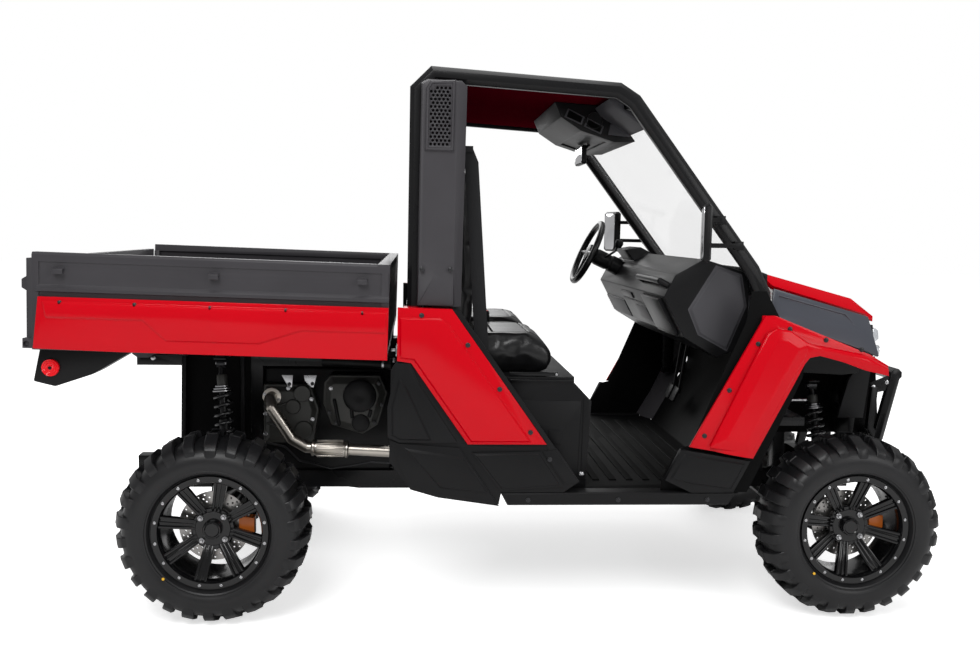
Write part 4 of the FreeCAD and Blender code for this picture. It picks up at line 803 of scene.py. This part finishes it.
def swelled(node, name, shrink, cap):
    """The right-hand pad of a node as stuffed cloth that swells from a slightly smaller copy."""
    pad = twin_of(NODES[node], name)
    in_edit(pad, action="SELECT")
    bpy.ops.mesh.remove_doubles(threshold=WELD)
    bpy.ops.mesh.select_all(action="SELECT")
    bpy.ops.mesh.bisect(plane_co=(0, 0, 0), plane_no=(0, 1, 0), clear_outer=True)
    leave()
    low = Vector([min(v.co[i] for v in pad.data.vertices) for i in range(3)])
    high = Vector([max(v.co[i] for v in pad.data.vertices) for i in range(3)])
    in_edit(pad, action="SELECT")
    bpy.ops.transform.resize(value=shrink, center_override=(low + high) / 2)
    leave()
    apply_modifier(pad, "REMESH", mode="VOXEL", voxel_size=0.008)
    start = [v.co.copy() for v in pad.data.vertices]
    take(pad)
    cloth = pad.modifiers.new("Cloth", "CLOTH")
    cloth.settings.use_pressure = True
    cloth.settings.uniform_pressure_force = 4.0
    cloth.settings.effector_weights.gravity = 0.0
    for number in range(CLOTH_STEPS):
        bpy.context.scene.frame_set(number + 1)
    bpy.ops.object.modifier_apply(modifier=cloth.name)
    bpy.context.scene.frame_set(1)
    for vertex, before in zip(pad.data.vertices, start):
        move = vertex.co - before
        if move.length > cap / 1000:
            vertex.co = before + move * (cap / 1000 / move.length)
    for vertex in pad.data.vertices:
        vertex.co = Vector([min(max(vertex.co[i], low[i] + SKIN), high[i] - SKIN) for i in range(3)])
    apply_modifier(pad, "SMOOTH", factor=0.5, iterations=6)
    set_material(pad, VINYL)
    return pad


def channel(obj, place, normal, width, depth, wanted):
    """A sewn channel pressed into a soft piece along a plane, where its points are wanted."""
    in_edit(obj, "VERT")
    for offset in (-width, width, 0):
        bpy.ops.mesh.select_all(action="SELECT")
        bpy.ops.mesh.bisect(plane_co=place + normal * offset / 1000, plane_no=normal)
    leave()
    for item in (*obj.data.polygons, *obj.data.edges):
        item.select = False
    for vertex in obj.data.vertices:
        if vertex.select:
            vertex.select = wanted(vertex.co)
    bpy.ops.object.mode_set(mode="EDIT")
    bpy.ops.transform.shrink_fatten(value=-depth / 1000)
    leave()


def seats():
    """Seat cushions and backs with their sewn channels and steel runners."""
    cushion = swelled("seat_cushions", "seat_cushion_right", (0.94, 0.955, 0.86), 24)
    top = at(0, 0, 950).z
    across = Vector((0, 1, 0))
    outer, inner = (at(0, y, 0).y for y in SEAMS_Y)
    for y in SEAMS_Y:
        channel(cushion, at(0, y, 0), across, 5, 7, lambda p: p.z > top)
    lean = Vector((1, 0, 0.25)).normalized()
    for x in (1088, 960):
        channel(cushion, at(x, -330, 1000), lean, 5, 7, lambda p: p.z > top and outer < p.y < inner)
    back = swelled("seat_backs", "seat_back_right", (0.90, 0.955, 0.975), 24)
    front, foot = at(770, 0, 1010).x, at(770, 0, 1010).z
    for y in SEAMS_Y:
        channel(back, at(0, y, 0), across, 5, 7, lambda p: p.x > front and p.z > foot)
    lean = Vector((-0.1, 0, 1)).normalized()
    for z in (1130, 1330, 1520):
        channel(back, at(800, -330, z), lean, 5, 6, lambda p: p.x > front and outer < p.y < inner)
    for pad, node in ((cushion, "seat_cushions"), (back, "seat_backs")):
        apply_modifier(pad, "SUBSURF", levels=1, render_levels=1)
        smooth(pad, 60)
        twin = copied(pad, OTHER_SIDE, pad.name.replace("right", "left"))
        for piece in (pad, twin):
            dressed(piece, "vehicle", [node])
    rails = []
    for x0, x1, z0, z1, y in ((1010, 1182, 869, 882, -636), (1010, 1236, 852, 858, -648)):
        rails.append(block("seat_rail", at(x0, y - 6, z0), at(x1, y + 6, z1), STEEL_BLACK, 1.5))
    rails.append(lathe("rail_end", at(1176, -642, 875), [(0, 5), (-5, 5), (-6, 4)], 12, BOLT))
    to_both(joined(rails, "seat_rails"))


seats()

# Suspension, exhaust and engine details


def coil(name, radius, wire, length, turns):
    """A coil spring along +Y from the frame's origin: a ring of wire swept by a screw."""
    bpy.ops.object.select_all(action="DESELECT")
    bpy.ops.mesh.primitive_circle_add(vertices=8, radius=wire / 1000, location=(radius / 1000, 0, 0),
                                      rotation=(math.pi / 2, 0, 0))
    obj = bpy.context.object
    obj.name = name
    settle(obj)
    apply_modifier(obj, "SCREW", axis="Z", angle=2 * math.pi, iterations=turns, steps=20, render_steps=20,
                   screw_offset=(length - 2 * wire) / 1000 / turns, use_merge_vertices=True)
    in_edit(obj, "EDGE", "SELECT")
    bpy.ops.mesh.fill_holes(sides=10)
    outside(obj)
    obj.data.transform(Matrix.Translation((0, wire / 1000, 0)) @ Matrix.Rotation(-math.pi / 2, 4, "X"))
    set_material(obj, SPRING_BLACK)
    smooth(obj, 60)
    return obj


def shocks():
    """Coil springs round threaded dampers, with their collars and eyes."""
    parts = []
    for x, head_z in ((WHEELBASE, 800.0), (0.0, 868.0)):
        foot, head = at(x, -430, 459), at(x - 30, -380, head_z)
        run = (head - foot).length * 1000

        def along(share):
            return foot + (head - foot) * share

        damper = [(0.0, 9), (0.12, 9), (0.13, 34), (0.15, 36), (0.16, 19), (0.5, 19), (0.52, 13), (0.90, 13),
                  (0.92, 10), (1.0, 10)]
        parts.append(bar("damper", foot, head, damper, STEEL_BLACK, 24))
        parts.append(aim(coil("spring", 31, 6.2, run * 0.59, 7), along(0.155), head))
        for share, radius in ((0.747, 37), (0.768, 33), (0.789, 27)):
            collar = [(0, radius - 2), (0.2, radius), (0.8, radius), (1, radius - 2)]
            parts.append(bar("collar", along(share), along(share + 0.015), collar, BOLT, 24))
        sleeve = [(0, 18), (0.1, 19), (0.9, 19), (1, 17)]
        parts.append(bar("sleeve", along(0.80), along(0.90), sleeve, CAST, 24))
        for place in (foot, head):
            ends = Vector((0.0155, 0, 0))
            parts.append(bar("eye", place - ends, place + ends, [(0, 15.5), (1, 15.5)], DARK_METAL, 20))
            parts.append(bar("eye_bolt", place - ends * 1.2, place + ends * 1.2, [(0, 7), (1, 7)], BOLT, 6))
    to_both(joined(parts, "shock_absorber_coils"), "vehicle", ["shock_absorbers"])


def exhaust():
    """The stainless exhaust pipe with its flange, weld bead and fluted flexible section."""
    line = [at(150, -352.5, 740), at(150, -404, 740), at(160, -436, 712), at(236, -445, 600),
            at(290, -450, 570), at(640, -450, 552)]
    parts = [tube("exhaust_pipe", line, 21.5, PIPE, 20)]
    a, b = at(312, -450, 568.9), at(436, -450, 562.5)
    flex = [(0, 23), (0.03, 27), (0.10, 28.5), (0.90, 28.5), (0.97, 27), (1, 23)]
    parts.append(bar("flex", a, b, flex, PIPE, 28))
    for share in (-0.05, 0.93):
        start = a + (b - a) * share
        cap = [(0, 25), (0.3, 31), (0.7, 31), (1, 25)]
        parts.append(bar("flex_cap", start, start + (b - a) * 0.12, cap, PIPE, 28))
    middle = (a + b) / 2
    flute = block("flute", middle + step(-48, -2.4, 27.2), middle + step(48, 2.4, 31.2), PIPE, 1.2)
    parts += ring_of(flute, middle, 18, 0, axis="X")
    parts.append(bar("weld", at(196, -440.4, 659), at(198, -440.6, 656), [(0, 22.6), (1, 22.6)], PIPE, 20))
    parts.append(lathe("flange", at(150, -353.2, 740), [(0, 34), (-6, 34), (-7, 32)], 24, PIPE))
    for dx in (-26, 26):
        parts.append(small_bolt("flange_nut", at(150 + dx, -359, 740 - dx * 0.4), 6.5, 7, BOLT))
    whole = joined(parts, "exhaust_pipe_with_flex")
    smooth(whole, 40)
    dressed(whole, "vehicle", ["exhaust"])


def engine_details():
    """Bosses, ribs, brackets and screws on the engine's covers, and its hoses."""
    parts = [lathe("boss", at(x, -351.5, z), [(0, wide), (-5, wide - 1), (-8, wide - 4), (-8, 8)], 32, CAST)
             for x, z, wide in ((262, 752, 33), (228, 702, 29), (268, 615, 34))]
    for (x0, z0), (x1, z1) in (((130, 690), (205, 716)), ((238, 728), (250, 738)), ((128, 640), (236, 606))):
        rib = [(0, 3), (0.04, 5), (0.96, 5), (1, 3)]
        parts.append(bar("rib", at(x0, -353, z0), at(x1, -353, z1), rib, CAST, 10))
    screws = ((148, 762), (296, 731), (300, 655), (126, 600), (126, 676), (210, 772))
    parts += some_bolts("cover_bolt", screws, -350.5, 8, 9, BOLT)
    for outline in ([(186, 822), (228, 822), (224, 776), (212, 774)],
                    [(268, 822), (316, 822), (304, 776), (292, 776), (272, 800)]):
        parts.append(panel_piece("zinc_bracket", outline, -352.5, 4, BOLT))
    parts += some_bolts("bracket_bolt", ((215, 788), (300, 790)), -356.5, 7, 8, DARK_METAL)
    dressed(joined(parts, "engine_bosses"))
    upper = [(0, 62), (-5, 60), (-10, 52), (-11, 20), (-8, 6)]
    lower = [(0, 34), (-6, 32), (-8, 26), (-8, 8)]
    drive = [lathe("drive_boss", at(478, -401.5, 752), upper, 40, BLACK),
             lathe("drive_boss", at(482, -401.5, 650), lower, 32, BLACK)]
    for (x0, z0), (x1, z1) in (((404, 640), (384, 742)), ((452, 668), (448, 704)), ((512, 672), (520, 700))):
        rib = [(0, 4), (0.05, 7), (0.95, 7), (1, 4)]
        drive.append(bar("drive_rib", at(x0, -402, z0), at(x1, -402, z1), rib, BLACK, 10))
    screws = ((366, 690), (392, 650), (548, 800), (560, 720), (534, 652), (470, 626))
    drive += some_bolts("drive_bolt", ((372, 780),), -398.5, 8, 10, BOLT)
    drive += some_bolts("drive_bolt", screws, -398.5, 8, 10, DARK_METAL)
    dressed(joined(drive, "drive_cover_bosses"))
    line = [at(335, -300, 868), at(430, -318, 868), at(545, -318, 862), at(590, -318, 862)]
    intake = tube("intake_hose", line, 22, BLACK, 16)
    clamp = bar("hose_clamp", at(556, -318, 862), at(564, -318, 862), [(0, 24), (1, 24)], BOLT, 20)
    line = [at(127, -330, 560), at(195, -332, 545), at(250, -335, 492), at(300, -335, 482),
            at(369, -335, 462), at(445, -335, 474), at(517, -335, 488), at(600, -335, 482)]
    brake_line = tube("brake_line", line, 4, DARK_METAL, 8)
    dressed(joined([intake, clamp, brake_line], "engine_hoses"))


shocks()
exhaust()
engine_details()

# Cab and body details


def steering():
    """The steering wheel with its padded rim, three spokes and hub, and the column's shroud and stalks."""
    tilt = math.radians(24.5)
    centre = at(1450, 350, 1283)
    axis = Vector((math.cos(tilt), 0, -math.sin(tilt)))
    up = Vector((math.sin(tilt), 0, math.cos(tilt)))
    bpy.ops.object.select_all(action="DESELECT")
    bpy.ops.mesh.primitive_torus_add(major_segments=64, minor_segments=14, major_radius=0.140,
                                     minor_radius=0.0138, location=centre,
                                     rotation=(0, math.pi / 2 + tilt, 0))
    grip = bpy.context.object
    settle(grip)
    set_material(grip, VINYL)
    parts = [grip]
    for way in (Vector((0, 1, 0)), Vector((0, -1, 0)), -up):
        a, b = centre + axis * 0.006 + way * 0.034, centre + way * 0.134
        parts.append(bar("spoke", a, b, [(0, 12), (0.3, 9.5), (0.75, 7), (1, 8)], VINYL, 12))
    parts.append(bar("hub", centre + axis * 0.0335, centre - axis * 0.0055,
                     [(0, 34), (0.12, 40), (0.72, 41), (0.92, 37), (0.97, 26), (1, 24)], VINYL, 32))
    wheel = joined(parts, "steering_wheel_grip")
    smooth(wheel, 45)
    dressed(wheel, "wheel_for_steering", ["steering_wheel"])
    shroud = bar("shroud", centre + axis * 0.037, centre + axis * 0.16,
                 [(0, 33), (0.08, 36.5), (0.5, 36.5), (0.54, 34), (0.6, 34), (0.64, 38), (1, 38)], BLACK, 28)
    lever = [centre + axis * 0.08 + step(0, -30, 10), at(1560, 280, 1290), at(1572, 268, 1318)]
    stalk = tube("shift_stalk", lever, 5, STEEL_BLACK, 10)
    knob = bar("shift_knob", at(1570, 270, 1306), at(1580, 262, 1342),
               [(0, 9), (0.15, 15), (0.6, 19), (0.9, 15), (1, 8)], BLACK, 20)
    switch = tube("switch_stalk", [centre + axis * 0.06 + step(0, 30, 0), at(1495, 430, 1292)], 5, BLACK, 10)
    whole = joined([shroud, stalk, knob, switch], "column_shroud")
    smooth(whole, 45)
    dressed(whole)


def dash_pads():
    """Raised pads on the dashboard's sloping face, each from one height along the slope to another."""
    foot = at(1640, 0, 1003)
    slope = Vector((-80, 0, 147)).normalized() / 1000
    out = Vector((-147, 0, -80)).normalized() / 1000
    pads = []
    for y0, y1, a, b, lift, material in ((-240, 180, 12, 110, 5, BLACK), (-220, -40, 30, 95, 8, SLATE),
                                         (200, 585, 8, 92, 6, SLATE), (-40, 160, 118, 146, 6, BLACK)):
        pad = block("dash_pad", at(1640, y0, 1003), at(1652, y1, 1003 + b - a), material)
        for vertex in pad.data.vertices:
            outer = vertex.co.x < foot.x + 0.006
            height = (vertex.co.z - foot.z) * 1000 + a
            spot = foot + slope * height + out * (lift if outer else -6)
            vertex.co = Vector((spot.x, vertex.co.y, spot.z))
        ease(pad, 4, 3)
        smooth(pad)
        pads.append(pad)
    return pads


def pedals():
    """Two hanging pedals."""
    parts = []
    for y in (250, 340):
        arm = tube("pedal_arm", [at(1900, y, 900), at(1880, y, 760), at(1866, y, 660)], 7, STEEL_BLACK, 10)
        pad = rounded("pedal_pad", at(1842, y - 32, 625), at(1852, y + 32, 690), 0, 8, BLACK)
        in_edit(pad, action="SELECT")
        bpy.ops.transform.rotate(value=math.radians(-25), orient_axis="Y", center_override=at(1847, y, 657))
        leave()
        parts += [arm, pad]
    return parts


def console():
    """The overhead console's speaker rings, pockets with painted shade in their hollows, and lower box."""
    parts = []
    for side in (-1, 1):
        ring = lathe("console_speaker", ORIGIN, [(0, 34), (4, 34), (6, 30), (3, 27), (3, 6)], 32, BLACK)
        parts.append(aim(ring, at(1340, side * 330, 1790), at(1340, side * 340, 1790)))
    for x, z in ((1226, 1800), (1300, 1767)):
        rim_line = [(x, z), (x + 66, z - 28), (x + 78, z + 2), (x + 14, z + 32)]
        hollow = [(x + 9, z + 1), (x + 62, z - 21), (x + 70, z), (x + 18, z + 25)]
        parts.append(panel_piece("console_pocket", rim_line, -330.5, 4, SLATE, 1.5))
        # Each pocket's hollow is a flat black sheet of painted shade.
        parts.append(panel_piece("console_pocket", hollow, -333, 2, PAINTED_SHADE_BLACK, 0))
    lower_box = [(1392, 1738), (1480, 1730), (1450, 1772), (1400, 1779)]
    parts.append(panel_piece("console_lower_box", lower_box, -330.5, 9, SLATE, 4))
    return parts


def buckles():
    """The belts' buckles on their straps."""
    parts = []
    for y in (-66, 66):
        parts.append(rounded("buckle", at(955, y - 11, 990), at(980, y + 11, 1048), 1, 6, BLACK, 2))
        parts.append(rounded("buckle_button", at(959, y - 8, 1047), at(976, y + 8, 1051), 1, 1.5, LENS_RED,
                             0.5))
        parts.append(block("buckle_strap", at(962, y - 3, 868), at(973, y + 3, 992), WEBBING, 1))
    return parts


def cab():
    """Dash trim, grab bar, pedals, floor ribs, console details, belt buckles and the inside mirror."""
    line = [at(1584, -205, 1188), at(1556, -215, 1204), at(1552, -300, 1206), at(1552, -470, 1206),
            at(1556, -555, 1204), at(1584, -565, 1188)]
    grab = tube("grab_bar", line, 12, BLACK, 14)
    dressed(joined([grab, *dash_pads(), *pedals()], "dash_trim_and_pedals"))
    ribs = [rounded("floor_rib", at(x, -560, 473.5), at(x + 26, 560, 478.5), 1, 2, FLOOR_BLACK)
            for x in range(1330, 1800, 62)]
    dressed(joined(ribs, "floor_ribs"))
    mirror = rounded("inside_mirror", at(1350, -28, 1650), at(1368, 150, 1728), 0, 16, BLACK, 3)
    sheet = rounded("inside_mirror_glass", at(1347.6, -22, 1656), at(1349.8, 144, 1722), 0, 13, MIRROR, 0.5)
    stalk = tube("mirror_stalk", [at(1366, 20, 1712), at(1392, 20, 1738), at(1400, 20, 1766)], 6, BLACK, 10)
    dressed(joined([mirror, sheet, stalk], "inside_mirror"))
    dressed(joined(console(), "console_speakers"))
    dressed(joined(buckles(), "belt_buckles"))


def grilles():
    """The pillar covers' perforated plates, cut with staggered round holes."""
    outline = [(716, 1643), (718, 1831), (728, 1849), (794, 1852), (791, 1642)]
    plate = panel_piece("pillar_grille", outline, -726.3, 2.4, PILLAR_GREY, 0)
    holes = []
    for row in range(16):
        z = 1653 + row * 12.2
        for column in range(5):
            x = 724 + column * 13.6 + (6.8 if row % 2 else 0)
            if x > 786 or (z > 1833 and x < 736):
                continue
            holes.append(lathe("hole", at(x, -730.5, z), [(0, 5.2), (6, 5.2001)], 6, BLACK))
    cut(plate, holes)
    to_both(plate)


def mirrors():
    """Silver sheets on the door mirrors' rear faces."""
    sheet = rounded("door_mirror_glass_right", step(-1.4, -58, -87), step(0.4, 58, 87), 0, 24, MIRROR, 0.4)
    turn = Matrix.Rotation(-math.atan2(28, 128), 4, "Z")
    sheet.data.transform(Matrix.Translation(at(1635.6, -786, 1378)) @ turn)
    to_both(sheet)


SCREWS = {
    "vehicle": [(701, -757, 1087), (857, -757, 989), (967, -757, 840), (1075, -757, 692),
                (1857, -748, 1002), (1967, -748, 1055), (2097, -748, 1018), (2226, -748, 986),
                (1682, -748, 680), (1763, -748, 840), (1144, -753, 597), (1073, -752, 455),
                (1386, -752, 455), (1700, -752, 455), (700, -731, 1240), (796, -731, 1240)],
    "cargo_bed": [(-460, -778, 1115), (-225, -778, 1110), (14, -778, 1103), (257, -778, 1098),
                  (506, -778, 1092)],
}
FRAME_SCREWS = [(2447, -403, 799), (2500, -403, 818), (1274, -644, 518), (640, -644, 700), (-300, -280, 872),
                (600, -280, 872)]


def heads_at(spots, radius, height, material):
    """The same bolt head at several places."""
    head = small_bolt("bolt", ORIGIN, radius, height, material)
    heads = [copied(head, Matrix.Translation(at(*spot))) for spot in spots]
    bpy.data.objects.remove(head)
    return heads


def bolts():
    """Flanged black screws on the panels, and zinc ones on the frame."""
    for body, spots in SCREWS.items():
        to_both(joined(heads_at(spots, 8.5, 7, DARK_METAL), f"{body}_screws"), body)
    rod = tube("arch_tube", [at(2084, -450, 755), at(2162, -450, 755)], 7, BOLT, 12)
    to_both(joined([*heads_at(FRAME_SCREWS, 9, 8, BOLT), rod], "frame_screws"))


def tail_and_gate():
    """Ribbed tail lamps, and the tailgate's latch bar and knobs."""
    rings = [(0, 28.5), (-8, 28.5), (-10, 27), (-8.6, 25), (-8.6, 22.5), (-10.4, 21), (-9, 19), (-9, 16.5),
             (-10.6, 15), (-9.4, 13), (-9.4, 10), (-10.8, 8)]
    lamp = lathe("tail_lamp_lens", at(-518.5, -706.2, 894.8), rings, 40, LENS_RED)
    to_both(lamp, "cargo_bed", ["tail_lamps"])
    hub = lathe("tail_lamp_hub", at(-518.5, -715.5, 894.8), [(0, 6), (-2, 6), (-3, 4)], 16, BLACK)
    to_both(hub, "cargo_bed")
    knobs = []
    for y in (-685, 685):
        knobs.append(bar("latch_knob", at(-593, y, 1165), at(-605, y, 1165),
                         [(0, 10), (0.4, 10), (0.6, 13), (1, 9)], BLACK, 20))
    knobs.append(rounded("latch_bar", at(-592, -300, 1190), at(-586, 300, 1212), 0, 6, BLACK, 2))
    dressed(joined(knobs, "tailgate_knobs"), "rear_gate")


ARCH = [(-196, 446), (62, 446), (62, 884), (-186, 884)]
ARCH_FOLD = [(-196, 446), (-180, 446), (-172, 884), (-188, 884)]
ARCH_SEAM = [(26, 446), (40, 446), (40, 884), (26, 884)]
FOOTWELL = [(1640, 640), (1820, 1075), (1836, 1182), (1888, 1182), (1990, 1000), (2036, 930), (2030, 880),
            (1912, 612), (1905, 592), (1850, 474), (1640, 474), (1540, 474), (1544, 530), (1602, 632)]
WHEEL_HOUSE = [(1836, 474), (1906, 592), (2003, 800), (2003, 1000), (1998, 1000), (1998, 801), (1901, 593),
               (1831, 475)]
FRONT_ARCH = [(2060, 905), (2500, 905), (2530, 600), (2030, 600)]
BULGE = [(1883, 1039), (1917, 1056), (1967, 1050), (2040, 1002), (2014, 940), (1844, 618), (1698, 640)]
HEADER = [(1340, 1836), (1362, 1806), (1470, 1740), (1488, 1740), (1443, 1794), (1397, 1800), (1393, 1838)]


def linings():
    """Black linings: behind the shocks, round the footwell and the front wheels, and in the engine bay."""
    house = panel_piece("wheel_house", WHEEL_HOUSE, -590, 132, PILLAR_GREY, 0)
    shoulder = at(0, 0, 900).z
    for vertex in house.data.vertices:
        if vertex.co.y < -0.7:
            vertex.co.x -= 0.013 if vertex.co.z > shoulder else 0.048
    parts = [panel_piece("arch_lining", ARCH, -282, 3, FLOOR_BLACK),
             panel_piece("arch_lining", ARCH_FOLD, -285, 26, BLACK),
             panel_piece("arch_lining", ARCH_SEAM, -285, 14, BLACK),
             panel_piece("footwell_lining", FOOTWELL, -722, 3, FLOOR_BLACK), house,
             panel_piece("front_arch_lining", FRONT_ARCH, -293, 3, FLOOR_BLACK)]
    to_both(joined(parts, "linings"))
    bulge = panel_piece("fender_bulge", BULGE, -750, 15, RED, 0)
    in_edit(bulge)
    pick(bulge, lambda c, n: n.y < -0.5)
    bpy.ops.mesh.inset(thickness=0.038, depth=0.009)
    leave()
    ease(bulge, 6, 4, 10)
    smooth(bulge, 50)
    to_both(bulge)
    dressed(panel_piece("header_shroud", HEADER, 600, 1200, SLATE, 5))
    bay = [block("bay_lining", at(64, 272, 446), at(598, 275, 884), FLOOR_BLACK),
           rounded("air_box", at(150, -230, 842), at(330, 60, 898), 2, 20, BLACK, 4),
           rounded("bay_shield", at(330, -262, 840), at(590, -240, 886), 2, 6, FLOOR_BLACK, 2),
           rounded("bay_shield", at(66, -262, 446), at(110, -240, 884), 2, 6, FLOOR_BLACK, 2)]
    dressed(joined(bay, "engine_bay_linings"))


def front():
    """Lamp reflectors, and the grille's bars behind its slots."""
    bowl = [(0, 11), (2.5, 11), (3, 9.5), (0.8, 7), (0.5, 3)]
    spot_ring = [(0, 17), (3, 17), (3, 14.5), (1, 12), (0.6, 4)]
    parts = []
    for x, y, z, profile in ((2409.5, 442, 1000, bowl), (2409.5, 442, 1024, bowl),
                             (2420.5, 468, 953, spot_ring)):
        for side in (-y, y):
            piece = lathe("lamp_bowl", ORIGIN, profile, 24, MIRROR)
            parts.append(aim(piece, at(x, side, z), at(x + 10, side, z)))
    dressed(joined(parts, "lamp_bowls"))
    bars = [block("grille_bar", at(x, y - 2, low), at(x + 4, y + 2, high), BLACK)
            for x, low, high in ((2349, 724, 754), (2364, 853, 881)) for y in range(-312, 313, 24)]
    dressed(joined(bars, "grille_bars"))


steering()
cab()
grilles()
mirrors()
bolts()
tail_and_gate()
linings()
front()
